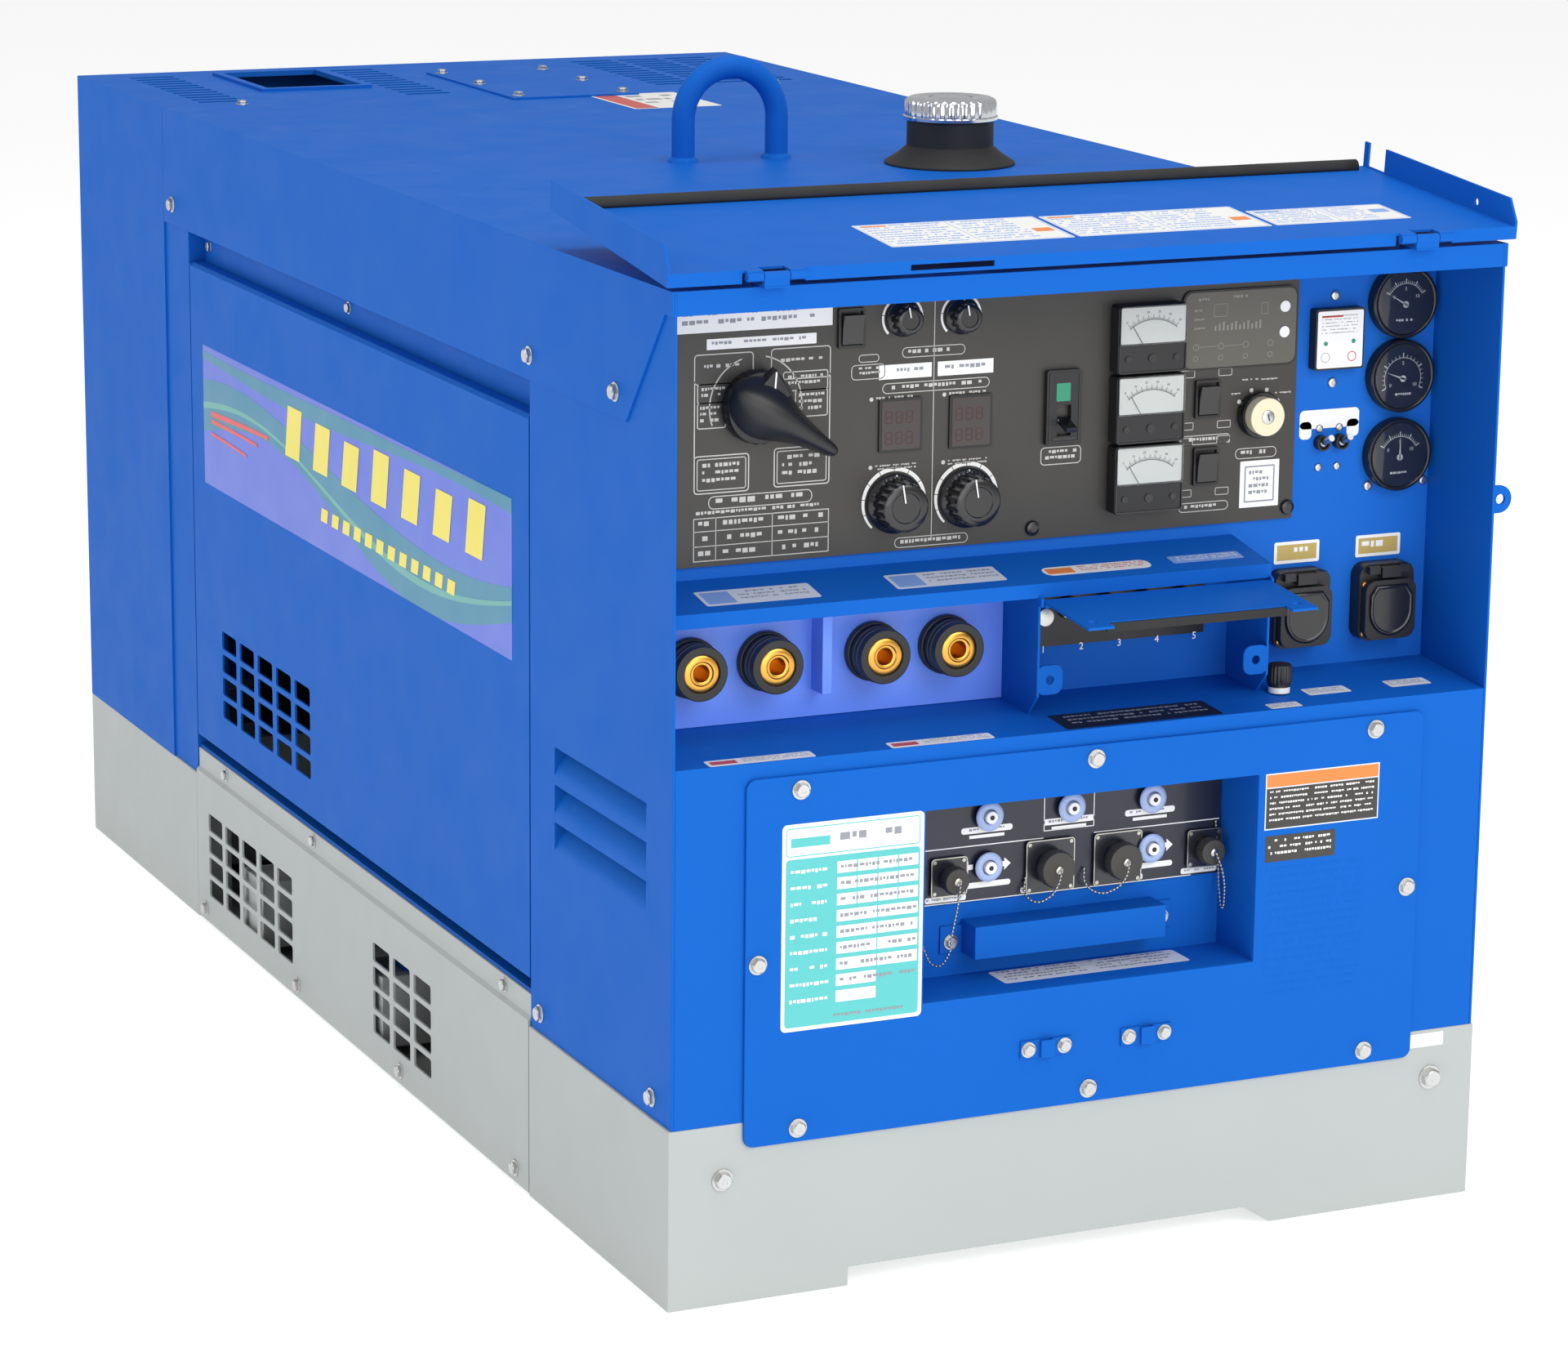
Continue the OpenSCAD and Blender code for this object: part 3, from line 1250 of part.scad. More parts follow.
// Rubber cap on a remote receptacle, held by its bayonet spigot
module receptacle_cap(i) {
    front = board_y - 9 - small_gap;
    color(CHARCOAL) union() {
        rod_y(REC_X[i], front - 9, rec_z, REC_R[i], 9);
        rod_y(REC_X[i], front - 1, rec_z, 3, 8);
        for (a = [0:30:330]) translate([REC_X[i], 0, rec_z]) rotate([0, a, 0])
            box([-1, front - 7, REC_R[i] - 0.5], [1, front, REC_R[i] + 0.6]);
    }
}

module receptacle_cap_1() { receptacle_cap(0); }
module receptacle_cap_2() { receptacle_cap(1); }
module receptacle_cap_3() { receptacle_cap(2); }
module receptacle_cap_4() { receptacle_cap(3); }

// Reset button of a circuit protector
module protector_button(i) {
    color(CREAM) rod_y(BUTTONS[i][0], board_y - 5 - btn_travel - 1, BUTTONS[i][1], btn_r, btn_travel + 2.5);
}

module protector_button_1() { protector_button(0); }
module protector_button_2() { protector_button(1); }
module protector_button_3() { protector_button(2); }
module protector_button_4() { protector_button(3); }
module protector_button_5() { protector_button(4); }

base_frame();
lower_side_covers();
side_rails();
front_side_panels();
front_panel();
bonnet();
rear_enclosure();
recess_panel();
control_panel();
terminal_hood();
insulator_plate();
weld_terminals();
terminal_sockets();
ac_terminal_board();
front_cover();
receptacle_box();
receptacle_board();
front_fittings();
lid_hinges();
lifting_frame();
fuel_tank();
panel_instruments();
panel_modules();
body_bolts();
engine_block();
engine_ancillaries();
engine_mounts();
radiator();
muffler();
generator_housing();
control_lid();
lid_seal();
side_door_left();
side_door_right();
terminal_flap();
mode_selector();
current_knob_a();
current_knob_b();
arc_knob_a();
arc_knob_b();
rocker_mode();
rocker_idle();
rocker_lamp();
breaker_lever();
key_switch();
toggle_a();
toggle_b();
outlet_lid_a();
outlet_lid_b();
receptacle_cap_1();
receptacle_cap_2();
receptacle_cap_3();
receptacle_cap_4();
protector_button_1();
protector_button_2();
protector_button_3();
protector_button_4();
protector_button_5();
fuel_cap();
rotor_shaft();
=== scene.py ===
import json
import math

import bmesh
import bpy
from mathutils import Matrix, Vector

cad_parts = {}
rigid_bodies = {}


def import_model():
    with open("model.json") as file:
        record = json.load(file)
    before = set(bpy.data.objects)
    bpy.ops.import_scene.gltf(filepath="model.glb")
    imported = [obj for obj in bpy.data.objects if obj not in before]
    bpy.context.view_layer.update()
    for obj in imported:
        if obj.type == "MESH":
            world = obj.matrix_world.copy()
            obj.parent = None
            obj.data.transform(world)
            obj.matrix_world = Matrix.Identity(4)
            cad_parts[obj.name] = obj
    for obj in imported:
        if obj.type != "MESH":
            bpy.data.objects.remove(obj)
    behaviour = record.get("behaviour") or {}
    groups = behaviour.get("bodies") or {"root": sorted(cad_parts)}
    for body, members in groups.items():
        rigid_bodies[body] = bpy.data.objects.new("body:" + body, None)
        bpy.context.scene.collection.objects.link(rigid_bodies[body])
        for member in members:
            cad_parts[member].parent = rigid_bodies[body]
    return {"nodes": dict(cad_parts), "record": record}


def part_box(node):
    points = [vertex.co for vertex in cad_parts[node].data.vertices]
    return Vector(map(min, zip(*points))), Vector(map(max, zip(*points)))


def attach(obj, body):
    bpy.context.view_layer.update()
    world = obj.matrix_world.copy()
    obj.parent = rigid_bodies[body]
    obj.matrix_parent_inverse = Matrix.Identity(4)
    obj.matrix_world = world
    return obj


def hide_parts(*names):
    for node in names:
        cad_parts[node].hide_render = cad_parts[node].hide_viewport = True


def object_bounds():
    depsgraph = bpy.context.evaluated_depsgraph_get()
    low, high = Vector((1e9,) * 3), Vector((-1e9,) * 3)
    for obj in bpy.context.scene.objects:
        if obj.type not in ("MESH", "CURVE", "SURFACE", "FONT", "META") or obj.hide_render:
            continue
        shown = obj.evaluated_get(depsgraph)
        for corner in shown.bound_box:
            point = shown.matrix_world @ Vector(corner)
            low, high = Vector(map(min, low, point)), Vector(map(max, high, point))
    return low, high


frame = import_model()
cad_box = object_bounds()
NODES = frame["nodes"]
BODY_OF = {n: body for body, ns in frame["record"]["behaviour"]["bodies"].items() for n in ns}
MM = 0.001
X, Y, Z = Vector((1, 0, 0)), Vector((0, 1, 0)), Vector((0, 0, 1))
here = bpy.context.scene.collection.objects

# ---------------------------------------------------------------- Studio
# A plain pale floor, a white surround and three large soft boxes, with the
# camera low in front of the left corner, as for a catalogue picture.
scene = bpy.context.scene
scene.view_settings.view_transform = "Standard"

world = bpy.data.worlds.new("studio_air")
scene.world = world
world.use_nodes = True
AIR_LIGHT = 0.5
seen = world.node_tree.nodes.new("ShaderNodeLightPath")
strength = world.node_tree.nodes.new("ShaderNodeMapRange")
strength.inputs["To Min"].default_value = AIR_LIGHT
strength.inputs["To Max"].default_value = 1.0
world.node_tree.links.new(seen.outputs["Is Camera Ray"], strength.inputs["Value"])
world.node_tree.nodes["Background"].inputs["Color"].default_value = (1.0, 1.0, 1.0, 1)
world.node_tree.links.new(strength.outputs["Result"], world.node_tree.nodes["Background"].inputs["Strength"])


def soft_box(name, place, target, size, watts):
    lamp = bpy.data.lights.new(name, "AREA")
    lamp.shape = "RECTANGLE"
    lamp.size, lamp.size_y = size
    lamp.energy = watts
    obj = bpy.data.objects.new(name, lamp)
    obj.location = place
    obj.rotation_euler = (Vector(target) - Vector(place)).to_track_quat("-Z", "Y").to_euler()
    here.link(obj)


soft_box("front_box", (0.9, -4.2, 2.8), (0, -0.5, 0.4), (3.0, 2.0), 66)
soft_box("fill_box", (-0.4, -4.4, 0.9), (0, -0.7, 0.5), (3.0, 1.4), 32)
soft_box("left_box", (-4.2, 0.4, 2.6), (0, 0, 0.4), (3.0, 2.0), 38)
soft_box("top_box", (0.2, -0.6, 4.2), (0, 0, 0.7), (3.0, 3.0), 70)

view = bpy.data.cameras.new("catalogue_view")
view.lens = 109.36
view.sensor_width = 36.0
camera = bpy.data.objects.new("catalogue_view", view)
turn, tilt, roll = math.radians(-24.549), math.radians(13.309), math.radians(0.596)
ahead = Vector((-math.sin(turn) * math.cos(tilt), math.cos(turn) * math.cos(tilt), -math.sin(tilt)))
level = Vector((math.cos(turn), math.sin(turn), 0))
over = level.cross(ahead)
right = math.cos(roll) * level + math.sin(roll) * over
above = -math.sin(roll) * level + math.cos(roll) * over
camera.matrix_world = Matrix((right, above, -ahead)).transposed().to_4x4()
camera.location = (-1.66975, -3.83712, 1.28642)
here.link(camera)
scene.camera = camera

# ---------------------------------------------------------------- Enclosure sheets
# Bent 2 mm steel sheet with a thick glossy blue powder coat. The bends and cut
# edges are slightly round, and the coat has a fine orange-peel surface.


def linear(code):
    """A hex colour as linear red, green, blue."""
    parts = [int(code[i:i + 2], 16) / 255 for i in (0, 2, 4)]
    return [c / 12.92 if c <= 0.04045 else ((c + 0.055) / 1.055) ** 2.4 for c in parts]


def finish_of(name, code, rough, grain=500, depth=0.02, drift=0.05, metal=0.0, coat=0.0,
              stretch=(1, 1, 1), clear=0.0, shine=0.5):
    """A procedural finish: a slow drift of tone, uneven gloss, and a fine grain in the surface."""
    look = bpy.data.materials.new(name)
    look.use_nodes = True
    nodes, links = look.node_tree.nodes, look.node_tree.links
    shader = nodes["Principled BSDF"]
    colour = linear(code)
    where = nodes.new("ShaderNodeTexCoord")
    stretched = nodes.new("ShaderNodeMapping")
    stretched.inputs["Scale"].default_value = stretch
    links.new(where.outputs["Object"], stretched.inputs["Vector"])
    cloud = nodes.new("ShaderNodeTexNoise")
    cloud.inputs["Scale"].default_value = 7
    cloud.inputs["Detail"].default_value = 4
    links.new(where.outputs["Object"], cloud.inputs["Vector"])
    tone = nodes.new("ShaderNodeMix")
    tone.data_type = "RGBA"
    tone.inputs[6].default_value = [c * (1 - drift) for c in colour] + [1]
    tone.inputs[7].default_value = [min(1, c * (1 + drift)) for c in colour] + [1]
    links.new(cloud.outputs["Fac"], tone.inputs[0])
    links.new(tone.outputs[2], shader.inputs["Base Color"])
    smear = nodes.new("ShaderNodeTexNoise")
    smear.inputs["Scale"].default_value = 24
    smear.inputs["Detail"].default_value = 5
    links.new(stretched.outputs["Vector"], smear.inputs["Vector"])
    gloss = nodes.new("ShaderNodeMapRange")
    gloss.inputs["To Min"].default_value = rough * 0.8
    gloss.inputs["To Max"].default_value = min(1, rough * 1.25)
    links.new(smear.outputs["Fac"], gloss.inputs["Value"])
    links.new(gloss.outputs["Result"], shader.inputs["Roughness"])
    peel = nodes.new("ShaderNodeTexNoise")
    peel.inputs["Scale"].default_value = grain
    peel.inputs["Detail"].default_value = 2
    links.new(stretched.outputs["Vector"], peel.inputs["Vector"])
    bump = nodes.new("ShaderNodeBump")
    bump.inputs["Strength"].default_value = 0.5
    bump.inputs["Distance"].default_value = depth * MM
    links.new(peel.outputs["Fac"], bump.inputs["Height"])
    links.new(bump.outputs["Normal"], shader.inputs["Normal"])
    shader.inputs["Metallic"].default_value = metal
    shader.inputs["Coat Weight"].default_value = coat
    shader.inputs["Coat Roughness"].default_value = 0.12
    shader.inputs["Transmission Weight"].default_value = clear
    shader.inputs["Specular IOR Level"].default_value = shine
    return look


blue = finish_of("blue_powder_coat", "1260BE", 0.5, grain=420, depth=0.04, drift=0.03, shine=0.06)
# The recess panel has its own copy of the blue coat, a little lighter than the one on the outer sheets: painted light
# that stands in for the light the hood keeps off the recess.
recess_blue_lit_copy = finish_of("recess_blue_painted_light", "1A66C6", 0.5, grain=420, depth=0.04, drift=0.03, shine=0.1)


def settle(piece, body):
    """Hands a finished piece to the body it moves with."""
    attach(piece, body)
    return piece


def made_plain(piece):
    """Applies a piece's modifiers, so that a plain mesh is left."""
    bpy.context.view_layer.update()
    depsgraph = bpy.context.evaluated_depsgraph_get()
    plain = bpy.data.meshes.new_from_object(piece.evaluated_get(depsgraph), depsgraph=depsgraph)
    piece.modifiers.clear()
    piece.data = plain
    return piece


def softened(node, radius, look, segments=2, angle=32):
    """A copy of a CAD piece with its edges rounded by radius mm, which stands for it."""
    mesh = NODES[node].data.copy()
    work = bmesh.new()
    work.from_mesh(mesh)
    bmesh.ops.remove_doubles(work, verts=work.verts, dist=0.02 * MM)
    bmesh.ops.dissolve_limit(work, angle_limit=math.radians(1), verts=work.verts, edges=work.edges)
    for face in work.faces:
        face.smooth = True
    work.to_mesh(mesh)
    work.free()
    mesh.materials.clear()
    mesh.materials.append(look)
    piece = bpy.data.objects.new(node + "_piece", mesh)
    here.link(piece)
    edge = piece.modifiers.new("edge", "BEVEL")
    edge.width = radius * MM
    edge.segments = segments
    edge.limit_method = "ANGLE"
    edge.angle_limit = math.radians(angle)
    shade = piece.modifiers.new("shade", "WEIGHTED_NORMAL")
    shade.mode = "FACE_AREA"
    shade.weight = 80
    shade.keep_sharp = True
    made_plain(piece)
    settle(piece, BODY_OF[node])
    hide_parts(node)
    return piece


for node in ("bonnet", "rear_enclosure", "front_side_panels", "front_panel", "side_rails",
             "terminal_hood", "front_cover"):
    softened(node, 0.7, blue)
softened("receptacle_box", 0.5, blue)
# The recess panel wears the lighter copy of the blue coat, painted light for the shaded recess.
softened("recess_panel", 0.4, recess_blue_lit_copy)
softened("lid_hinges", 0.4, blue)
softened("front_fittings", 0.6, blue)


# ---------------------------------------------------------------- Base
# Folded and welded steel skid with bolted vented covers, in a light grey coat
# that is duller than the blue one.
grey = finish_of("grey_powder_coat", "AFB4B2", 0.48, grain=380, depth=0.06, drift=0.03, shine=0.25)
softened("base_frame", 0.9, grey)
softened("lower_side_covers", 0.7, grey)

# ---------------------------------------------------------------- Side doors
# Two pressed doors that drop down on pins along their bottom edge. Each has a
# printed vinyl band with two soft waves of colour.
softened("side_door_left", 0.8, blue)
softened("side_door_right", 0.8, blue)


class Film:
    """Thin closed films laid on a plane and gathered into one mesh, as stickers and
    screen print are. Places are in mm along right and up from the origin."""

    def __init__(self, origin, right=X, up=Z, lift=0.05, thick=0.12):
        self.origin, self.right, self.up = Vector(origin), Vector(right), Vector(up)
        self.out = self.right.cross(self.up)
        self.low, self.high = lift, lift + thick
        self.mesh = bmesh.new()

    def place(self, u, v, h):
        return self.origin + (self.right * u + self.up * v + self.out * h) * MM

    def sheet(self, outline):
        tops = [self.mesh.verts.new(self.place(u, v, self.high)) for u, v in outline]
        feet = [self.mesh.verts.new(self.place(u, v, self.low)) for u, v in outline]
        self.mesh.faces.new(tops)
        self.mesh.faces.new(feet[::-1])
        for i in range(len(tops)):
            j = (i + 1) % len(tops)
            self.mesh.faces.new((tops[j], tops[i], feet[i], feet[j]))

    def hoop(self, outer, inner):
        rows = [[self.mesh.verts.new(self.place(u, v, h)) for u, v in loop]
                for loop in (outer, inner) for h in (self.high, self.low)]
        for i in range(len(outer)):
            j = (i + 1) % len(outer)
            for a, b in ((0, 1), (1, 3), (3, 2), (2, 0)):
                self.mesh.faces.new((rows[a][i], rows[a][j], rows[b][j], rows[b][i]))

    def bar(self, u0, v0, u1, v1):
        self.sheet([(u0, v0), (u1, v0), (u1, v1), (u0, v1)])

    @staticmethod
    def rounded(u0, v0, u1, v1, r, steps=5):
        out = []
        for cu, cv, start in ((u1 - r, v1 - r, 0), (u0 + r, v1 - r, 90), (u0 + r, v0 + r, 180), (u1 - r, v0 + r, 270)):
            for i in range(steps + 1):
                a = math.radians(start + 90 * i / steps)
                out.append((cu + r * math.cos(a), cv + r * math.sin(a)))
        return out

    def plate(self, u0, v0, u1, v1, r=1.5):
        self.sheet(self.rounded(u0, v0, u1, v1, r))

    def outline(self, u0, v0, u1, v1, line=0.6, r=2.0):
        self.hoop(self.rounded(u0, v0, u1, v1, r),
                  self.rounded(u0 + line, v0 + line, u1 - line, v1 - line, max(r - line, 0.1)))

    def circle(self, u, v, r, steps=32):
        return [(u + r * math.cos(math.tau * i / steps), v + r * math.sin(math.tau * i / steps)) for i in range(steps)]

    def disc(self, u, v, r):
        self.sheet(self.circle(u, v, r))

    def ring(self, u, v, r, line=0.6):
        self.hoop(self.circle(u, v, r), self.circle(u, v, r - line))

    def arc(self, u, v, r0, r1, start, stop, steps=24):
        ends = [math.radians(start + (stop - start) * i / steps) for i in range(steps + 1)]
        self.sheet([(u + r1 * math.cos(a), v + r1 * math.sin(a)) for a in ends]
                   + [(u + r0 * math.cos(a), v + r0 * math.sin(a)) for a in reversed(ends)])

    def stroke(self, u0, v0, u1, v1, line=0.6):
        along = Vector((u1 - u0, v1 - v0)).normalized() * line / 2
        side = (-along.y, along.x)
        self.sheet([(u0 + side[0], v0 + side[1]), (u0 - side[0], v0 - side[1]),
                    (u1 - side[0], v1 - side[1]), (u1 + side[0], v1 + side[1])])

    def ticks(self, u, v, r0, r1, start, stop, count, line=0.5):
        for i in range(count):
            a = math.radians(start + (stop - start) * i / (count - 1))
            self.stroke(u + r0 * math.cos(a), v + r0 * math.sin(a), u + r1 * math.cos(a), v + r1 * math.sin(a), line)

    def rows(self, u0, v0, u1, v1, count, fill=0.4, seed=3):
        """Plain dashes in rows, where the real label carries print."""
        pitch = (v1 - v0) / count
        for i in range(count):
            top = v1 - i * pitch
            u, k = u0, 0
            step = pitch * fill
            while u < u1 - step:
                seed = (seed * 131 + 7 * i + k * 17 + 5) % 97
                reach = min(u + step * (0.5 + seed / 97), u1)
                if seed % 5:
                    self.bar(u, top - step * (0.75 + 0.25 * (seed % 2)), reach, top)
                u, k = reach + step * 0.35, k + 1

    def number(self, text, u, v, size):
        """A dial's number, centred at (u, v)."""
        curve = bpy.data.curves.new("number", "FONT")
        curve.body = text
        curve.size = size
        curve.align_x, curve.align_y = "CENTER", "CENTER"
        curve.resolution_u = 2
        holder = bpy.data.objects.new("number", curve)
        here.link(holder)
        bpy.context.view_layer.update()
        flat = holder.to_mesh()
        for poly in flat.polygons:
            self.sheet([(u + flat.vertices[i].co.x, v + flat.vertices[i].co.y) for i in poly.vertices])
        holder.to_mesh_clear()
        bpy.data.objects.remove(holder)
        bpy.data.curves.remove(curve)

    def done(self, name, look, body="machine", slot=None):
        bmesh.ops.recalc_face_normals(self.mesh, faces=self.mesh.faces)
        mesh = bpy.data.meshes.new(name)
        self.mesh.to_mesh(mesh)
        self.mesh.free()
        mesh.materials.append(look)
        piece = bpy.data.objects.new(name, mesh)
        here.link(piece)
        return settle(piece, body)


band_violet = finish_of("band_violet_vinyl", "4F68D2", 0.45, grain=60, depth=0.02, coat=0.2)
band_teal = finish_of("band_teal_vinyl", "1F7FA0", 0.45, grain=60, depth=0.02, coat=0.2)
band_gold = finish_of("band_gold_vinyl", "E9D94A", 0.4, grain=60, depth=0.02, coat=0.2)
band_red = finish_of("band_red_vinyl", "D8343A", 0.4, grain=60, depth=0.02, coat=0.2)
band_mint = finish_of("band_mint_vinyl", "4FA39A", 0.4, grain=60, depth=0.02, coat=0.2)
for side, door in ((-1, "side_door_left"), (1, "side_door_right")):
    low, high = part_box(door)
    face = low.x if side < 0 else high.x
    along = Y * side
    door_l = (high.y - low.y) / MM
    start = Vector((face, low.y if side > 0 else high.y, low.z))
    band = (36.0, 250.0, door_l - 36.0, 380.0)
    if side < 0:
        band = (door_l - band[2], band[1], door_l - band[0], band[3])
    ground = Film(start, along, Z, 0.05, 0.12)
    ground.bar(*band)
    ground.done(door + "_band", band_violet, BODY_OF[door])
    reach, rise = band[2] - band[0], band[3] - band[1]

    def wave_band(film, centre, half, swing, phase, u0=0.0, u1=1.0, count=44):
        """A soft band of colour that waves along the vinyl and stays inside it."""
        tops, feet = [], []
        for i in range(count + 1):
            part = u0 + (u1 - u0) * i / count
            mid = band[1] + rise * (centre + swing * math.sin(math.tau * (part * 0.85 + phase)))
            thick = rise * half * (0.75 + 0.25 * math.cos(math.tau * (part * 1.3 + phase)))
            tops.append((band[0] + reach * part, min(mid + thick, band[3])))
            feet.append((band[0] + reach * part, max(mid - thick, band[1])))
        film.sheet(feet + tops[::-1])

    wave = Film(start, along, Z, 0.18, 0.1)
    wave_band(wave, 0.42, 0.2, 0.24, 0.1)
    wave_band(wave, 0.93, 0.06, 0.03, 0.5)
    wave.done(door + "_wave", band_teal, BODY_OF[door])
    swirl = Film(start, along, Z, 0.3, 0.08)
    wave_band(swirl, 0.4, 0.025, 0.24, 0.12)
    swirl.done(door + "_swirl", band_mint, BODY_OF[door])
    blocks = Film(start, along, Z, 0.42, 0.1)
    lean = 9
    for k in range(7):
        u = band[0] + reach * (0.3 + 0.095 * k)
        high = 46 - 3 * (k % 3)
        v = band[1] + rise * 0.52
        blocks.sheet([(u, v), (u + 38, v), (u + 38 + lean, v + high), (u + lean, v + high)])
    for k in range(12):
        u = band[0] + reach * (0.42 + 0.036 * k)
        v = band[1] + rise * 0.2
        blocks.sheet([(u, v), (u + 17, v), (u + 20, v + 12), (u + 3, v + 12)])
    blocks.done(door + "_blocks", band_gold, BODY_OF[door])
    accent = Film(start, along, Z, 0.42, 0.1)
    for k in range(3):
        wave_band(accent, 0.52 - 0.09 * k, 0.02, 0.05, 0.15 * k, 0.03, 0.24 - 0.04 * k)
    accent.done(door + "_accent", band_red, BODY_OF[door])

# ---------------------------------------------------------------- Control lid
# One folded sheet with side flanges and an apron, open and lying on the roof,
# with a black foam strip along its free edge and printed notices inside.
softened("control_lid", 0.6, blue)
rubber = finish_of("black_rubber", "141415", 0.62, grain=700, depth=0.08, drift=0.12)
low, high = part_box("lid_seal")
LID_TILT = math.radians(5)
lid_along = Vector((0, math.cos(LID_TILT), math.sin(LID_TILT)))
lid_out = Vector((0, -math.sin(LID_TILT), math.cos(LID_TILT)))
lid_axis = Vector((0, -0.756, 0.7785))
INNER = 4.5
white = finish_of("white_vinyl", "EDEDEA", 0.36, grain=90, depth=0.02, drift=0.02, coat=0.2)
ink_grey = finish_of("grey_print", "8E9299", 0.5, grain=300, depth=0.01)
ink_black = finish_of("black_print", "17171A", 0.45, grain=300, depth=0.01)
ink_orange = finish_of("orange_print", "E8823C", 0.45, grain=300, depth=0.01)
ink_blue = finish_of("pale_blue_print", "7FA2DF", 0.45, grain=300, depth=0.01)


def strip(name, half_width, start, rise, radius, look, body):
    """A foam strip with a round crown, lying along X on the lid."""
    section = [(0, 0), (radius * 2, 0)]
    section += [(radius + radius * math.cos(a), rise - radius + radius * math.sin(a))
                for a in [math.pi * i / 10 for i in range(11)]]
    work = bmesh.new()
    stations = [half_width * (2 * i / 48 - 1) for i in range(49)]
    loops = []
    for i, x in enumerate(stations):
        sag = 0.25 * math.sin(i * 1.7)
        loops.append([work.verts.new(lid_axis + X * x * MM + lid_along * (start + a) * MM
                                     + lid_out * (INNER + b * (1 + sag * 0.03)) * MM) for a, b in section])
    for one, two in zip(loops, loops[1:]):
        for i in range(len(section)):
            j = (i + 1) % len(section)
            work.faces.new((one[i], one[j], two[j], two[i]))
    work.faces.new(loops[0][::-1])
    work.faces.new(loops[-1])
    bmesh.ops.recalc_face_normals(work, faces=work.faces)
    for face in work.faces:
        face.smooth = True
    mesh = bpy.data.meshes.new(name)
    work.to_mesh(mesh)
    work.free()
    mesh.materials.append(look)
    piece = bpy.data.objects.new(name, mesh)
    here.link(piece)
    return settle(piece, body)


seal = strip("lid_seal_strip", 340, 214.5, 8, 6, rubber, "lid")
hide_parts("lid_seal")

plates = [(-158, 46, -6, 118), (-2, 47, 164, 116), (168, 48, 288, 98)]
for i, (u0, v0, u1, v1) in enumerate(plates):
    card = Film(lid_axis + lid_out * INNER * MM, X, lid_along, 0.05, 0.12)
    card.plate(u0, v0, u1, v1, 2)
    card.done("lid_card_%d" % (i + 1), white, "lid")
    frame_line = Film(lid_axis + lid_out * INNER * MM, X, lid_along, 0.18, 0.08)
    frame_line.outline(u0 + 1.5, v0 + 1.5, u1 - 1.5, v1 - 1.5, 0.5, 1)
    frame_line.bar((u0 + u1) / 2, v0 + 2, (u0 + u1) / 2 + 0.5, v1 - 2)
    frame_line.rows(u0 + 5, v0 + 4, (u0 + u1) / 2 - 4, v1 - 4, 9, 0.35, 11 + i)
    frame_line.rows((u0 + u1) / 2 + 4, v0 + 4, u1 - 24, v1 - 4, 9, 0.35, 14 + i)
    frame_line.done("lid_print_%d" % (i + 1), ink_blue, "lid")
    mark = Film(lid_axis + lid_out * INNER * MM, X, lid_along, 0.28, 0.08)
    mark.bar(u1 - 20, v0 + 24, u1 - 5, v0 + 34)
    mark.bar(u0 + 5, v1 - 8, u0 + 26, v1 - 5)
    mark.done("lid_mark_%d" % (i + 1), ink_orange if i < 2 else ink_blue, "lid")

# ---------------------------------------------------------------- Control panel
# A dark screen-printed laminate board. The print is pale grey lines, dials and
# plain dashes, and three white name strips are stuck on it.
panel_look = finish_of("panel_laminate", "34322E", 0.42, grain=900, depth=0.02, drift=0.05, coat=0.08)
softened("control_panel", 0.4, panel_look)
print_look = finish_of("panel_print", "C2C1BB", 0.5, grain=300, depth=0.01)
low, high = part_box("control_panel")
panel = (low.x, low.y, low.z)

SEL = (102, 119)
lines = Film(panel)
lines.outline(52, 137, 100, 160, 0.8, 3)
lines.outline(114, 137, 163, 161, 0.8, 3)
lines.outline(54.5, 123, 86, 137.8, 0.8, 2)
lines.outline(54.5, 104, 78, 123.8, 0.8, 2)
lines.outline(124, 128, 161, 143, 0.8, 2)
lines.outline(134, 108, 161, 128.8, 0.8, 2)
lines.outline(52, 55, 97, 84, 0.9, 3)
lines.outline(54.5, 57.5, 94.5, 81.5, 0.7, 2)
lines.outline(117, 56, 163, 86, 0.9, 3)
lines.outline(119.5, 58.5, 160.5, 83.5, 0.7, 2)
lines.bar(52, 82, 52.9, 140)
lines.bar(162.1, 84, 163, 140)
lines.arc(*SEL, 37, 38, 108, 200)
lines.arc(*SEL, 37, 38, -20, 78)
for (u0, v0, u1, v1, n) in ((60, 147, 92, 152, 1), (122, 148, 156, 153, 1), (58, 126, 82, 135, 2),
                            (57, 107, 75, 121, 3), (128, 131, 157, 140, 2), (137, 111, 158, 126, 3),
                            (59, 61, 90, 78, 3), (124, 62, 156, 80, 3)):
    lines.rows(u0, v0, u1, v1, n, 0.5, int(u0))
lines.outline(64, 43, 149, 53, 0.7, 4.5)
lines.rows(70, 45, 144, 51, 1, 0.7, 5)
lines.rows(54, 38, 156, 42, 1, 0.6, 8)
lines.outline(52, 4, 163, 37, 0.7, 0.5)
lines.bar(52, 26.5, 163, 27.1)
lines.bar(52, 15.2, 163, 15.8)
lines.bar(70, 4, 70.6, 37)
lines.bar(116, 4, 116.6, 37)
for row in range(3):
    v = 7 + row * 11.2
    lines.rows(56, v, 66, v + 5, 1, 0.7, row + 2)
    lines.rows(76, v, 110, v + 5, 1, 0.7, row + 5)
    lines.rows(121, v, 158, v + 5, 1, 0.7, row + 9)
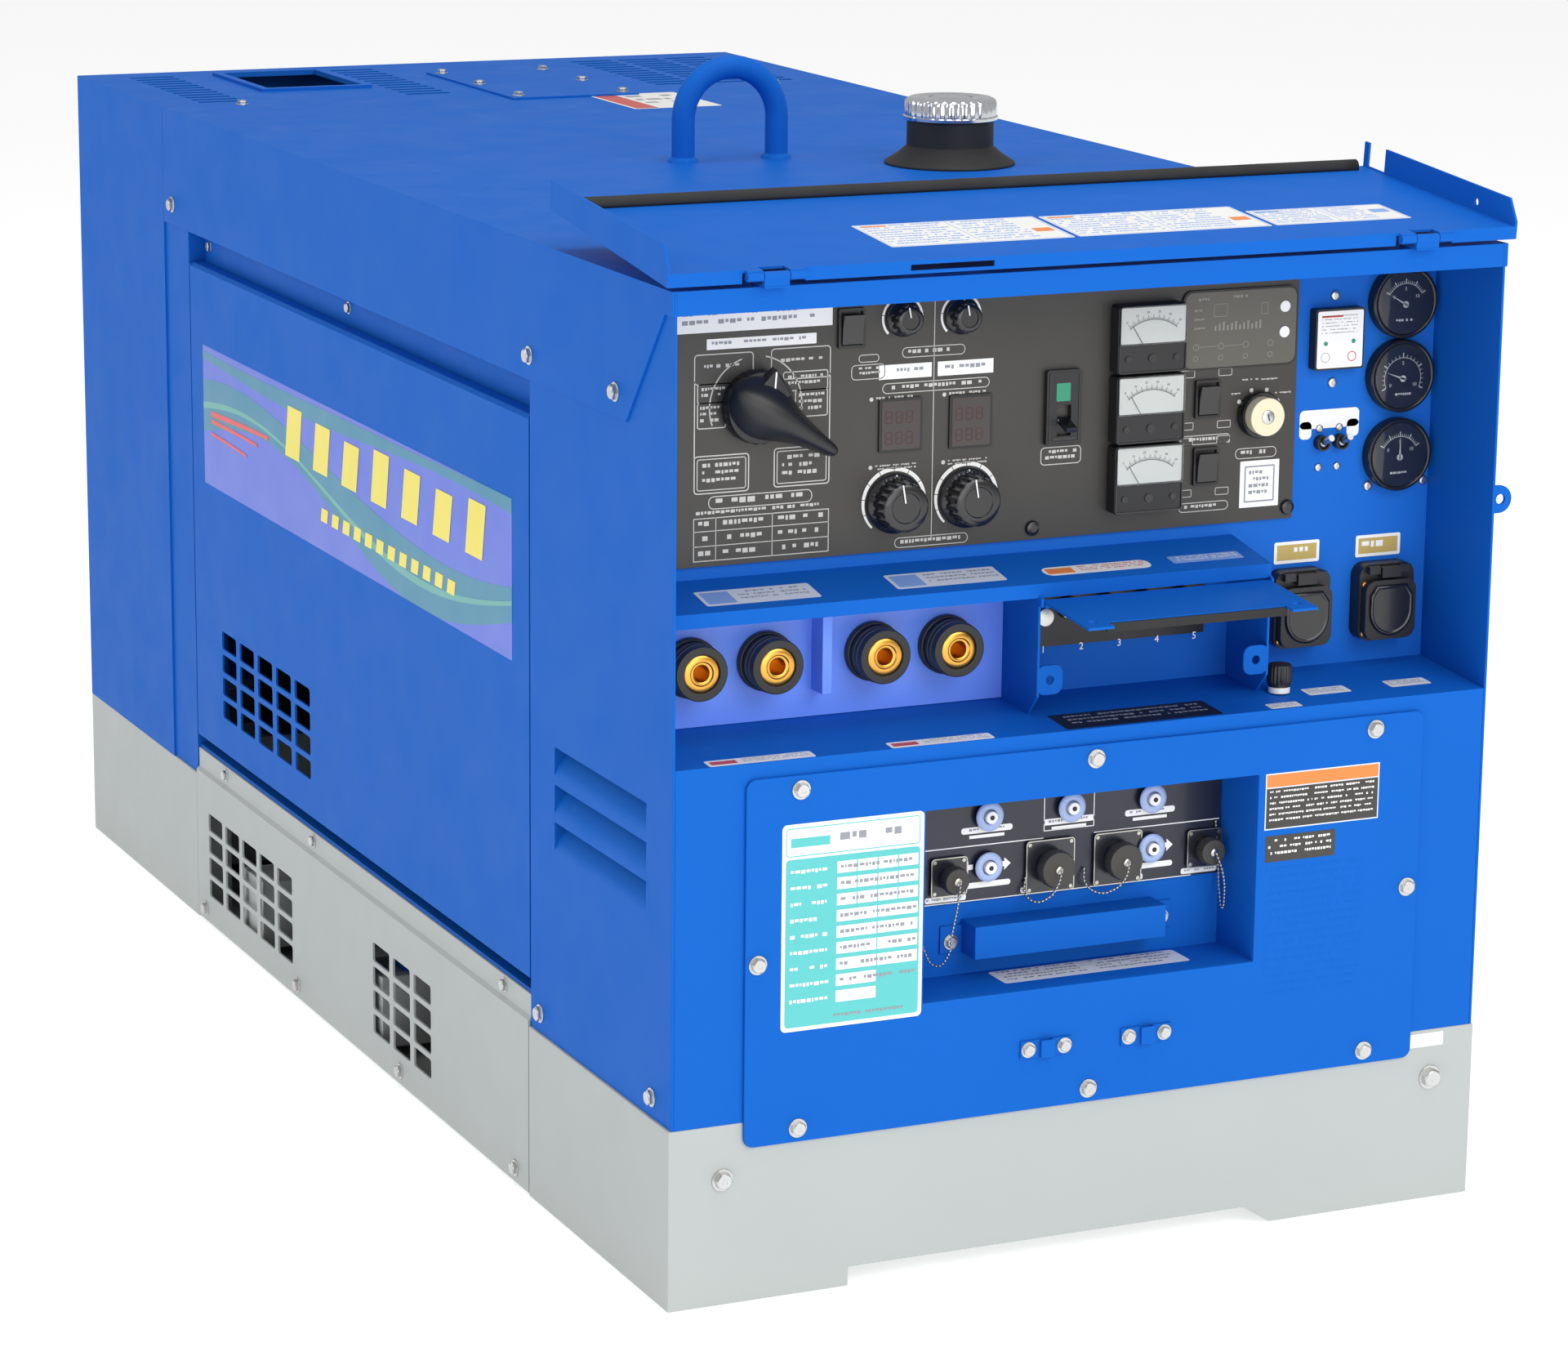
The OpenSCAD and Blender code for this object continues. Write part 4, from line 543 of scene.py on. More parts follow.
# line between the two operators' controls, with the pill frames round it
lines.bar(248.6, 8, 249.2, 190)
lines.outline(222, 147.5, 275, 155.5, 0.6, 3.8)
lines.rows(227, 149.5, 270, 153.5, 1, 0.7, 4)
lines.outline(206, 121, 296, 129, 0.6, 3.8)
lines.rows(211, 123, 291, 127, 1, 0.7, 6)
lines.outline(218, 2, 280, 10, 0.6, 3.8)
lines.rows(223, 4, 275, 8, 1, 0.7, 7)
lines.outline(186, 146, 203, 152, 0.6, 2.8)
lines.outline(180, 133, 208, 144.5, 0.6, 3.5)
lines.rows(184, 135.5, 205, 142.5, 2, 0.55, 12)
for u in (217, 278):
    lines.rows(u - 16, 62, u + 18, 67, 2, 0.5, int(u))
    lines.disc(u - 20, 65.5, 1.6)
    lines.disc(u - 20, 117.5, 1.6)
    lines.rows(u - 16, 116, u + 16, 119, 1, 0.6, int(u) + 3)
# rockers, breaker and starter
for v in (100, 47):
    for du, dv in ((-24, 17), (9, 17), (-24, -24), (9, -24)):
        lines.outline(485 + du + 1, v + dv, 485 + du + 13, v + dv + 6, 0.5, 1)
    lines.outline(463, v - 36, 507, v - 28.5, 0.6, 3.6)
    lines.rows(468, v - 34, 502, v - 30.5, 1, 0.7, v)
lines.outline(341, 57, 376, 71, 0.7, 3.5)
lines.rows(345, 59.5, 372, 68.5, 2, 0.55, 21)
lines.outline(512, 50, 549, 58.5, 0.6, 4)
lines.rows(517, 52, 545, 56.5, 1, 0.7, 22)
for a in (148, 108, 68, 28):
    t = math.radians(a)
    lines.disc(531 + 20 * math.cos(t), 85 + 20 * math.sin(t), 1.7)
    lines.rows(531 + 25 * math.cos(t) - 7, 85 + 25 * math.sin(t) - 1 + 3, 531 + 25 * math.cos(t) + 8,
               85 + 25 * math.sin(t) + 4.5, 1, 0.5, a)
lines.done("panel_lines", print_look)

# name strips
strips = Film(panel)
strips.bar(37, 176, 164, 196)
strips.bar(62, 163, 151, 171)
strips.bar(203, 132, 247, 143)
strips.bar(252, 132, 299, 143)
strips.plate(517, 11, 552, 48, 0.6)
strips.done("panel_strips", white)
words = Film(panel, lift=0.2, thick=0.06)
words.rows(42, 179, 150, 192, 2, 0.5, 31)
words.rows(66, 165, 147, 169, 1, 0.6, 32)
words.rows(210, 135, 240, 140, 1, 0.6, 33)
words.rows(258, 135, 292, 140, 1, 0.6, 34)
words.outline(521, 15, 548, 44, 1.2, 1)
words.rows(525, 19, 544, 40, 4, 0.5, 35)
words.done("panel_strip_print", ink_grey)

# knob scales: a white band that grows wider round the dial, with dark marks
scales = Film(panel)
marks = Film(panel, lift=0.2, thick=0.06)
for u, v in ((217, 37), (278, 37)):
    steps = 40
    sweep = [math.radians(225 - 270 * i / steps) for i in range(steps + 1)]
    outer = [(u + (26.2 + 1.6 * math.sin(math.pi * i / steps)) * math.cos(a),
              v + (26.2 + 1.6 * math.sin(math.pi * i / steps)) * math.sin(a)) for i, a in enumerate(sweep)]
    inner = [(u + 24.6 * math.cos(a), v + 24.6 * math.sin(a)) for a in sweep]
    scales.sheet(outer + inner[::-1])
    marks.ticks(u, v, 24.4, 28, 225, -45, 11, 0.5)
for u, v in ((222, 178), (271, 177)):
    scales.arc(u, v, 15.4, 17.2, -45, 225, 32)
    marks.ticks(u, v, 15.2, 17.4, 225, -45, 6, 0.5)
scales.done("knob_scales", white)
marks.done("knob_scale_marks", ink_black)

# digital windows: dark red glass with unlit figures
window_glass = finish_of("window_glass", "241413", 0.16, grain=60, depth=0.005, coat=0.6)
segment = finish_of("unlit_segments", "41201D", 0.3, grain=60, depth=0.01)
panes = Film(panel, lift=2.0, thick=0.3)
figures = Film(panel, lift=2.35, thick=0.08)
for u, v in ((221, 97), (280, 96)):
    panes.plate(u - 16, v - 18.5, u + 16, v + 18.5, 1)
    for row in (-10, 6):
        for k in range(3):
            left = u - 13 + k * 8.5
            for du, dv, w, h in ((0.8, 0, 4.4, 0.9), (0.8, 4.4, 4.4, 0.9), (0.8, 8.8, 4.4, 0.9), (0, 0.9, 0.9, 3.6),
                                 (5.1, 0.9, 0.9, 3.6), (0, 5.2, 0.9, 3.6), (5.1, 5.2, 0.9, 3.6)):
                figures.bar(left + du, v + row - 4.8 + dv, left + du + w, v + row - 4.8 + dv + h)
panes.done("digital_windows", window_glass)
figures.done("digital_figures", segment)

# ---------------------------------------------------------------- Knobs
# Moulded black knobs with fluted sides and a white pointer line, pushed on
# 6 mm shafts.
black = finish_of("black_plastic", "1B1B1D", 0.38, grain=850, depth=0.05, drift=0.1)
black_gloss = finish_of("black_gloss_plastic", "151517", 0.22, grain=850, depth=0.015, drift=0.1, coat=0.3)


def turned(name, profile, centre, axis, look, body, steps=72, flutes=0, depth=0.0, flute_span=(0, 0)):
    """A piece turned about an axis: profile is (radius, height) in mm from the centre outwards.
    Flutes dent the radius between the two heights of flute_span."""
    axis = Vector(axis).normalized()
    side = axis.orthogonal().normalized()
    other = axis.cross(side)
    work = bmesh.new()
    loops = []
    for r, h in profile:
        if r < 0.001:
            loops.append([work.verts.new(Vector(centre) + axis * h * MM)])
            continue
        loop = []
        for i in range(steps):
            a = math.tau * i / steps
            dent = depth * (0.5 + 0.5 * math.cos(a * flutes)) if flutes and flute_span[0] <= h <= flute_span[1] else 0
            reach = (r - dent) * MM
            loop.append(work.verts.new(Vector(centre) + axis * h * MM
                                       + (side * math.cos(a) + other * math.sin(a)) * reach))
        loops.append(loop)
    for one, two in zip(loops, loops[1:]):
        if len(one) == 1 and len(two) == 1:
            continue
        for i in range(steps):
            j = (i + 1) % steps
            if len(one) == 1:
                work.faces.new((one[0], two[i], two[j]))
            elif len(two) == 1:
                work.faces.new((one[i], one[j], two[0]))
            else:
                work.faces.new((one[i], one[j], two[j], two[i]))
    bmesh.ops.recalc_face_normals(work, faces=work.faces)
    mesh = bpy.data.meshes.new(name)
    for face in work.faces:
        face.smooth = True
    for edge in work.edges:
        if len(edge.link_faces) == 2 and edge.calc_face_angle() > math.radians(38):
            edge.smooth = False
    work.to_mesh(mesh)
    work.free()
    mesh.materials.append(look)
    piece = bpy.data.objects.new(name, mesh)
    here.link(piece)
    return settle(piece, body)


def knob(node, radius, skirt, length, flutes):
    low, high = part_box(node)
    centre = Vector(((low.x + high.x) / 2, panel[1] - 0.4 * MM, (low.z + high.z) / 2))
    body = BODY_OF[node]
    profile = [(0, -7), (2.9, -7), (2.9, 0), (skirt - 0.6, 0), (skirt, 0.6), (skirt, 3.2), (skirt - 0.9, 4.2),
               (radius + 0.4, 5), (radius, 6), (radius - 0.2, length - 3), (radius - 0.8, length - 1.2),
               (radius - 2.4, length), (radius * 0.62, length), (radius * 0.58, length - 0.7), (0, length - 0.7)]
    piece = turned(node + "_knob", profile, centre, (0, -1, 0), black_gloss, body,
                   steps=flutes * 8, flutes=flutes, depth=0.9, flute_span=(5.5, length - 2))
    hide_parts(node)
    pointer = Film(centre + Vector((0, -length * MM, 0)), lift=-0.05, thick=0.35)
    pointer.stroke(-radius * 0.04, radius * 0.2, -radius * 0.16, radius - 1.6, 1.1)
    pointer.done(node + "_pointer", white, body)
    skirt_line = Film(centre + Vector((0, -4.4 * MM, 0)), lift=-0.6, thick=0.8)
    skirt_line.stroke(0, radius + 0.5, 0, skirt - 0.6, 1.0)
    skirt_line.done(node + "_skirt_line", white, body)


for node in ("current_knob_a", "current_knob_b"):
    knob(node, 19.5, 23, 22, 18)
for node in ("arc_knob_a", "arc_knob_b"):
    knob(node, 11.5, 14, 15, 12)

# ---------------------------------------------------------------- Mode selector
# A large black switch handle: a round hub and a long tapered grip, with a white
# line that points to the chosen mode.
hub = Vector((panel[0] + SEL[0] * MM, panel[1], panel[2] + SEL[1] * MM))
SELECTOR_BODY = BODY_OF["mode_selector"]
drum = turned("mode_selector_drum", [(0, -8), (2.9, -8), (2.9, 0.4), (27, 0.4), (28, 1.2), (28, 9), (26.5, 11.5), (22, 12.5), (0, 12.5)],
              hub, (0, -1, 0), black, SELECTOR_BODY, steps=96, flutes=24, depth=0.7, flute_span=(1, 9.5))
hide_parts("mode_selector")
GRIP_TURN = math.radians(-32)
grip_along = Vector((math.cos(GRIP_TURN), 0, math.sin(GRIP_TURN)))
grip_side = Vector((-math.sin(GRIP_TURN), 0, math.cos(GRIP_TURN)))
# station along the grip, half width at its foot, half width at its crown, crown height
GRIP = [(-31, 5, 1.5, 20), (-27, 13, 4, 24), (-18, 19, 6, 28), (-6, 24, 7, 31), (8, 23, 7, 32), (22, 16, 6, 31),
        (38, 10.5, 5, 29), (54, 7.5, 4, 27), (66, 5.5, 3, 25), (68, 4, 2, 22)]
work = bmesh.new()
loops = []
for at, foot, crown, tall in GRIP:
    section = [(-foot, 12), (-foot, 15), (-(foot + crown) / 2, (tall + 15) / 2), (-crown, tall - 1), (0, tall),
               (crown, tall - 1), ((foot + crown) / 2, (tall + 15) / 2), (foot, 15), (foot, 12)]
    loops.append([work.verts.new(hub + (grip_along * at + grip_side * w - Y * h) * MM) for w, h in section])
for one, two in zip(loops, loops[1:]):
    for i in range(len(one)):
        j = (i + 1) % len(one)
        work.faces.new((one[i], one[j], two[j], two[i]))
work.faces.new(loops[0][::-1])
work.faces.new(loops[-1])
bmesh.ops.recalc_face_normals(work, faces=work.faces)
for face in work.faces:
    face.smooth = True
grip_mesh = bpy.data.meshes.new("mode_selector_grip")
work.to_mesh(grip_mesh)
work.free()
grip_mesh.materials.append(black)
grip = bpy.data.objects.new("mode_selector_grip", grip_mesh)
here.link(grip)
round_off = grip.modifiers.new("round_off", "SUBSURF")
round_off.levels = round_off.render_levels = 2
made_plain(grip)
settle(grip, SELECTOR_BODY)
nose_mesh = bpy.data.meshes.new("mode_selector_nose")
work = bmesh.new()
nose = [(-9, 14), (7.5, 30.5), (20, 10), (10, 4), (-6, 4)]
tops = [work.verts.new(hub + Vector((u, -21, v)) * MM) for u, v in nose]
feet = [work.verts.new(hub + Vector((u * 1.08, -11.5, v * 1.03)) * MM) for u, v in nose]
work.faces.new(tops)
work.faces.new(feet[::-1])
for i in range(len(tops)):
    j = (i + 1) % len(tops)
    work.faces.new((tops[j], tops[i], feet[i], feet[j]))
bmesh.ops.recalc_face_normals(work, faces=work.faces)
bmesh.ops.bevel(work, geom=list(work.edges), offset=1.2 * MM, segments=3, profile=0.5, affect="EDGES")
for face in work.faces:
    face.smooth = True
work.to_mesh(nose_mesh)
work.free()
nose_mesh.materials.append(black)
nose_piece = bpy.data.objects.new("mode_selector_nose", nose_mesh)
here.link(nose_piece)
settle(nose_piece, SELECTOR_BODY)
pointer = Film(hub + Vector((0, -21 * MM, 0)), lift=0.02, thick=0.15)
pointer.stroke(6.2, 15, 7.3, 28, 1.3)
pointer.done("mode_selector_pointer", white, SELECTOR_BODY)

# ---------------------------------------------------------------- Switches, meters and display
# Rockers and breaker in moulded frames, three moving-coil meters under clear
# covers, three round engine gauges and a membrane display.
softened("panel_modules", 0.6, black)
softened("panel_instruments", 0.8, black)
for node in ("rocker_mode", "rocker_idle", "rocker_lamp"):
    softened(node, 0.5, black_gloss)
softened("breaker_lever", 0.6, black_gloss)

meter_face = finish_of("meter_card", "FBFAF4", 0.5, grain=120, depth=0.01, drift=0.02)
clear = finish_of("clear_cover", "F4F7F8", 0.05, grain=40, depth=0.003, clear=1.0)
cards = Film(panel, lift=13.05, thick=0.15)
prints = Film(panel, lift=13.25, thick=0.08)
needles = Film(panel, lift=13.6, thick=0.25)
hoods = Film(panel, lift=13.05, thick=0.9)
for row in range(3):
    u, v = 429, 43 + row * 54.5
    cards.plate(u - 28, v - 3, u + 28, v + 25, 1.5)
    prints.arc(u, v - 18, 33, 33.5, 52, 128, 24)
    prints.ticks(u, v - 18, 33.5, 37, 54, 126, 11, 0.4)
    prints.ticks(u, v - 18, 33.5, 35, 54, 126, 51, 0.2)
    for k in range(6):
        a = math.radians(126 - 72 * k / 5)
        prints.number(str(k * 10), u + 39.2 * math.cos(a), v - 18 + 39.2 * math.sin(a), 2.6)
    a = math.radians(122)
    needles.stroke(u + 15 * math.cos(a), v - 18 + 15 * math.sin(a), u + 34 * math.cos(a), v - 18 + 34 * math.sin(a), 0.45)
    hoods.outline(u - 29.4, v - 26, u + 29.4, v + 26, 1.1, 2.5)
    hoods.disc(u, v - 15, 3.4)
    for du in (-21, 21):
        hoods.disc(u + du, v - 15, 2.6)
cards.done("meter_cards", meter_face)
prints.done("meter_scales", ink_black)
needles.done("meter_needles", ink_black)
hoods.done("meter_hoods", black_gloss)
covers = Film(panel, lift=14.1, thick=0.8)
for row in range(3):
    v = 43 + row * 54.5
    covers.plate(400, v - 4, 458, v + 26, 1.5)
covers.done("meter_covers", clear, slot=None)

# display: a grey overlay with small dim icons, a bar row and two pale keys
overlay = finish_of("display_overlay", "57544B", 0.38, grain=500, depth=0.01, coat=0.25)
dim = finish_of("display_print", "86837A", 0.5, grain=300, depth=0.01)
sheet = Film(panel, lift=2.02, thick=0.25)
sheet.plate(462.5, 124.5, 561.5, 183.5, 7)
sheet.done("display_overlay", overlay)
icons = Film(panel, lift=2.3, thick=0.08)
icons.rows(472, 176, 486, 179, 1, 0.7, 3)
icons.rows(505, 177, 519, 180, 1, 0.7, 4)
for k in range(12):
    icons.bar(489 + k * 3.6, 153, 490.6 + k * 3.6, 157 + (k % 3) * 1.4)
icons.outline(488, 164, 500, 174, 0.4, 0.8)
icons.outline(530, 164, 536, 173, 0.4, 0.8)
for k in range(4):
    icons.ring(473 + k * 22, 141, 2.6, 0.5)
    icons.ring(473 + k * 22, 132, 2.2, 0.5)
icons.stroke(476, 141, 492, 141, 0.4)
icons.stroke(498, 141, 514, 141, 0.4)
for v in (168, 161, 154):
    icons.rows(471, v, 481, v + 2.4, 1, 0.7, int(v))
icons.done("display_icons", dim)
keys = Film(panel, lift=2.3, thick=0.9)
for v in (169, 149):
    keys.disc(551, v, 4.4)
keys.done("display_keys", white)

# breaker: a green tell-tale above the lever
green = finish_of("green_tab", "1F8C6A", 0.35, grain=300, depth=0.01, coat=0.2)
tab = Film(panel, lift=5.02, thick=0.3)
tab.plate(351, 107, 363, 121, 0.8)
tab.done("breaker_tab", green)
tab_line = Film(panel, lift=5.0, thick=0.5)
tab_line.outline(345, 75, 371, 129, 0.8, 1.4)
tab_line.bar(348, 77, 368, 79)
tab_line.done("breaker_rim", black_gloss)

# ---------------------------------------------------------------- Gauges
# Black round gauges with pressed bezels, white scales and flat glasses.
glass_face = finish_of("gauge_face", "101113", 0.5, grain=300, depth=0.01)
back_low, back_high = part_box("recess_panel")
strip_x = back_high.x - 33 * MM
plate_y = back_low.y
for index, drop in enumerate((178, 115, 56)):
    centre = Vector((strip_x, plate_y - 9 * MM, back_high.z + 2 * MM - drop * MM))
    turned("gauge_bezel_%d" % (index + 1), [(25.4, 0.05), (29, 0.05), (29, 0.6), (28.2, 1.5), (26.8, 1.7),
                                            (25.8, 1.2), (25.4, 0.4), (25.4, 0.05)],
           centre, (0, -1, 0), black_gloss, "machine")
    face = Film(centre, lift=0.03, thick=0.1)
    face.disc(0, 0, 25.6)
    face.done("gauge_face_%d" % (index + 1), glass_face)
    scale = Film(centre, lift=0.16, thick=0.06)
    start, stop = ((205, -25), (205, -25), (150, 30))[index]
    if index == 0:
        start, stop = 150, 30
    scale.arc(0, -2, 16.4, 16.8, min(start, stop), max(start, stop), 32)
    scale.ticks(0, -2, 16.8, 20.4, start, stop, 5, 0.9)
    scale.ticks(0, -2, 16.8, 18.8, start, stop, 21, 0.4)
    for k in range(3):
        a = math.radians(start + (stop - start) * k / 2)
        scale.number(str((0, 5, 10)[k]), 12.2 * math.cos(a), -2 + 12.2 * math.sin(a), 4.0)
    scale.rows(-8, -16, 8, -13.5, 1, 0.7, index + 2)
    scale.done("gauge_scale_%d" % (index + 1), white)
    hand = Film(centre, lift=0.5, thick=0.4)
    a = math.radians((90, 160, 150)[index])
    hand.sheet([(-2 * math.cos(a) + 0.9 * math.sin(a), -2 - 2 * math.sin(a) - 0.9 * math.cos(a)),
                (16 * math.cos(a), -2 + 16 * math.sin(a)),
                (-2 * math.cos(a) - 0.9 * math.sin(a), -2 - 2 * math.sin(a) + 0.9 * math.cos(a))][::-1])
    hand.disc(0, -2, 2.6)
    hand.done("gauge_hand_%d" % (index + 1), white)
    turned("gauge_glass_%d" % (index + 1), [(0, 1.05), (25.2, 1.05), (25.2, 1.35), (16, 1.6), (0, 1.75)],
           centre, (0, -1, 0), clear, "machine", steps=48)

# ---------------------------------------------------------------- Key switch, toggles and relay
# An ivory key barrel in a black collar, two bright toggles under a white tag, and
# an earth-leakage relay behind a white cover.
ivory = finish_of("ivory_plastic", "E6DDBB", 0.35, grain=400, depth=0.02, drift=0.04, coat=0.15)
zinc = finish_of("zinc_plate", "C4C4C2", 0.3, grain=260, depth=0.02, drift=0.08, metal=1.0, stretch=(1, 1, 1))
softened("key_switch", 1.4, ivory, segments=3)
key_low, key_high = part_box("key_switch")
key_mid = Vector(((key_low.x + key_high.x) / 2, key_low.y, (key_low.z + key_high.z) / 2))
turned("key_collar", [(15.6, 0), (18.5, 0), (18.5, 6), (17.5, 7.5), (15.6, 7.5), (15.6, 0)],
       Vector((key_mid.x, panel[1] - 0.1 * MM, key_mid.z)), (0, -1, 0), black_gloss, "machine")
turned("key_barrel", [(0, 0.02), (5.4, 0.02), (5.4, 0.7), (4.8, 1.1), (0, 1.1)], key_mid, (0, -1, 0), zinc,
       BODY_OF["key_switch"], steps=40)
slot_mark = Film(key_mid, lift=1.1, thick=0.1)
slot_mark.stroke(-0.6, 2.6, 0.8, -2.8, 1.1)
slot_mark.done("key_slot", ink_black, BODY_OF["key_switch"])
softened("toggle_a", 0.2, zinc)
softened("toggle_b", 0.2, zinc)
plate_at = (back_low.x, back_low.y, 0)
tag = Film((0, plate_y, 0))
tag.plate(226, 616, 280, 631, 4)
tag.plate(226, 608, 237, 622, 4)
tag.plate(269, 608, 280, 622, 4)
tag.done("toggle_tag", white)
relay_low = Vector((232 * MM, plate_y - 10 * MM, 664 * MM))
cover = Film(relay_low, lift=0.02, thick=0.3)
cover.plate(1.5, 1.5, 42.5, 46.5, 1.5)
cover.done("relay_cover", white)
relay_print = Film(relay_low, lift=0.33, thick=0.08)
relay_print.rows(5, 27, 38, 43, 6, 0.3, 41)
relay_print.ring(9, 10, 4, 0.5)
relay_print.done("relay_print", ink_grey)
relay_lamps = Film(relay_low, lift=0.33, thick=0.5)
relay_lamps.disc(9, 21, 1.7)
relay_lamps.disc(34, 22, 1.7)
relay_lamps.done("relay_lamps", green)
red = finish_of("red_print", "C4473A", 0.4, grain=300, depth=0.01)
relay_red = Film(relay_low, lift=0.33, thick=0.08)
relay_red.ring(33, 10, 4, 0.7)
relay_red.bar(5, 41.5, 24, 43)
relay_red.done("relay_red", red)

# ---------------------------------------------------------------- Outlets
# Two black outlets whose sprung lids are shaped like a shield, with a plain
# value tag above each.
for node in ("outlet_lid_a", "outlet_lid_b"):
    softened(node, 1.2, black, segments=3)
    lid_low, lid_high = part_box(node)
    w, h = (lid_high.x - lid_low.x) / MM, (lid_high.z - lid_low.z) / MM
    shield = bmesh.new()
    outline = [(w / 2 + (w / 2 - 3.5) * math.cos(math.radians(a)), 23 + 20 * math.sin(math.radians(a)))
               for a in range(180, 361, 12)] + [(w - 3.5, 36), (w - 9, 44), (9, 44), (3.5, 36)]
    rows = []
    for shrink, lift in ((0.0, 0.2), (0.0, 1.4), (1.0, 2.2), (2.6, 2.4), (3.4, 1.5)):
        rows.append([shield.verts.new(Vector((lid_low.x, lid_low.y, lid_low.z)) + Vector((
            w / 2 + (u - w / 2) * (1 - shrink / 22), -lift, 25 + (v - 25) * (1 - shrink / 22))) * MM) for u, v in outline])
    for one, two in zip(rows, rows[1:]):
        for i in range(len(one)):
            j = (i + 1) % len(one)
            shield.faces.new((one[i], one[j], two[j], two[i]))
    shield.faces.new(rows[0][::-1])
    shield.faces.new(rows[-1])
    bmesh.ops.recalc_face_normals(shield, faces=shield.faces)
    for face in shield.faces:
        face.smooth = len(face.verts) == 4
    mesh = bpy.data.meshes.new(node + "_shield")
    shield.to_mesh(mesh)
    shield.free()
    mesh.materials.append(black_gloss)
    piece = bpy.data.objects.new(node + "_shield", mesh)
    here.link(piece)
    settle(piece, BODY_OF[node])
gold = finish_of("gold_print", "B9A15A", 0.4, grain=300, depth=0.01)
for x in (227.5, 302):
    tag = Film((0, plate_y, 0))
    tag.plate(x - 20.5, 509.5, x + 20.5, 527, 1.5)
    tag.done("outlet_tag_%d" % int(x), white)
    ground = Film((0, plate_y, 0), lift=0.18, thick=0.06)
    ground.bar(x - 18, 512, x + 18, 524.5)
    ground.done("outlet_tag_ground_%d" % int(x), gold)
    mark = Film((0, plate_y, 0), lift=0.25, thick=0.06)
    mark.rows(x - 15, 516, x + 15, 522, 1, 0.8, int(x))
    mark.done("outlet_tag_print_%d" % int(x), white)

# ---------------------------------------------------------------- Welding terminals
# Brass sockets pressed in ribbed black collars on a violet insulating board.
violet = finish_of("violet_board", "6692FA", 0.42, grain=700, depth=0.03, drift=0.06, coat=0.1)
softened("insulator_plate", 0.5, violet)
brass = finish_of("turned_brass", "D9A24A", 0.26, grain=900, depth=0.02, drift=0.12, metal=1.0, stretch=(1, 0.1, 1))
softened("terminal_sockets", 0.9, brass, segments=3)
softened("weld_terminals", 1.6, black, segments=4)
for index, x in enumerate((-297, -235, -146, -84)):
    term_low, term_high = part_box("weld_terminals")
    mouth = Vector((x * MM, term_low.y, 472 * MM))
    turned("socket_lip_%d" % (index + 1),
           [(6.6, -1.9), (14.2, -1.9), (14.2, -1.3), (12.9, -0.5), (9.6, -0.5), (8.6, -1.3), (7.4, -1.3), (6.6, -1.7),
            (6.6, -1.9)],
           mouth, (0, -1, 0), brass, "machine", steps=48)
    for k in range(2):
        turned("collar_ring_%d_%d" % (index + 1, k + 1),
               [(20.8, 0), (21.5, 0.3), (21.5, 1.3), (20.8, 1.6), (20.8, 0)],
               mouth + Vector((0, (8 + k * 6) * MM, 0)), (0, -1, 0), black, "machine")

# ---------------------------------------------------------------- Three-phase bay
# A black terminal board with five nickel studs behind a raised blue flap.
softened("ac_terminal_board", 0.6, black)
softened("terminal_flap", 0.5, blue)
FLAP_TILT = math.radians(5)
flap_low, flap_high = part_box("terminal_flap")
flap_up = Vector((0, -math.sin(FLAP_TILT), math.cos(FLAP_TILT)))
flap_lip = Vector((0, -720 * MM, 510.5 * MM)) + 63 * MM * Vector((0, -math.cos(FLAP_TILT), -math.sin(FLAP_TILT)))
flap_rubber = Film(flap_lip, X, flap_up, 0.05, 1.4)
flap_rubber.plate(flap_low.x / MM + 21, -4.6, flap_high.x / MM - 21, 2.2, 0.6)
flap_rubber.done("flap_rubber", rubber, "flap")
board_low, board_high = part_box("ac_terminal_board")
studs = []
for k in range(5):
    studs.append(Vector((board_low.x + (18 + k * 33) * MM, board_high.y - 12 * MM, 492 * MM)))
for k, at in enumerate(studs):
    turned("stud_nut_%d" % (k + 1), [(4.2, 0), (8.6, 0), (8.6, 1.4), (7.4, 1.6), (7.2, 7.6), (6.4, 8.2), (4.2, 8.2), (4.2, 0)],
           at, (0, -1, 0), zinc, "machine", steps=6)
    turned("stud_thread_%d" % (k + 1), [(0, 8)] + [(4.15 + 0.25 * (i % 2), 8.2 + i * 0.6) for i in range(18)] + [(3.4, 19), (0, 19)],
           at, (0, -1, 0), zinc, "machine", steps=24)
turned("stud_cap", [(0, 1), (7.6, 1), (7.6, 20), (6.8, 21.6), (3.2, 22.4), (0, 22.4)], studs[0], (0, -1, 0), zinc, "machine",
       steps=40)
bay_tag = Film((0, board_low.y, 0), lift=0.05, thick=0.1)
for k, at in enumerate(studs):
    bay_tag.number(str(k + 1), at.x / MM, 466, 8)
bay_tag.done("stud_numbers", white)

# ---------------------------------------------------------------- Hood and ledge notices
# Vinyl notices with plain blocks and dashes on the hood and on the ledge.
hood_low, hood_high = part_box("terminal_hood")
slope = Vector((0, 63, 11)).normalized()
hood_edge = Vector((0, -718 * MM, 526 * MM))


def notice(name, origin, along, u0, v0, u1, v1, ground, printed, seed, block=None, radius=2, body="machine"):
    base = Film(origin, X, along, 0.08, 0.12)
    base.plate(u0, v0, u1, v1, radius)
    base.done(name, ground, body)
    rows = Film(origin, X, along, 0.21, 0.06)
    left = u0 + (u1 - u0) * (0.34 if block else 0.08)
    rows.rows(left, v0 + (v1 - v0) * 0.2, u1 - 3, v1 - (v1 - v0) * 0.15, 3, 0.4, seed)
    rows.done(name + "_print", printed, body)
    if block:
        patch = Film(origin, X, along, 0.21, 0.06)
        patch.plate(u0 + 3, v0 + 3, u0 + (u1 - u0) * 0.28, v1 - 3, 1)
        patch.done(name + "_block", block, body)


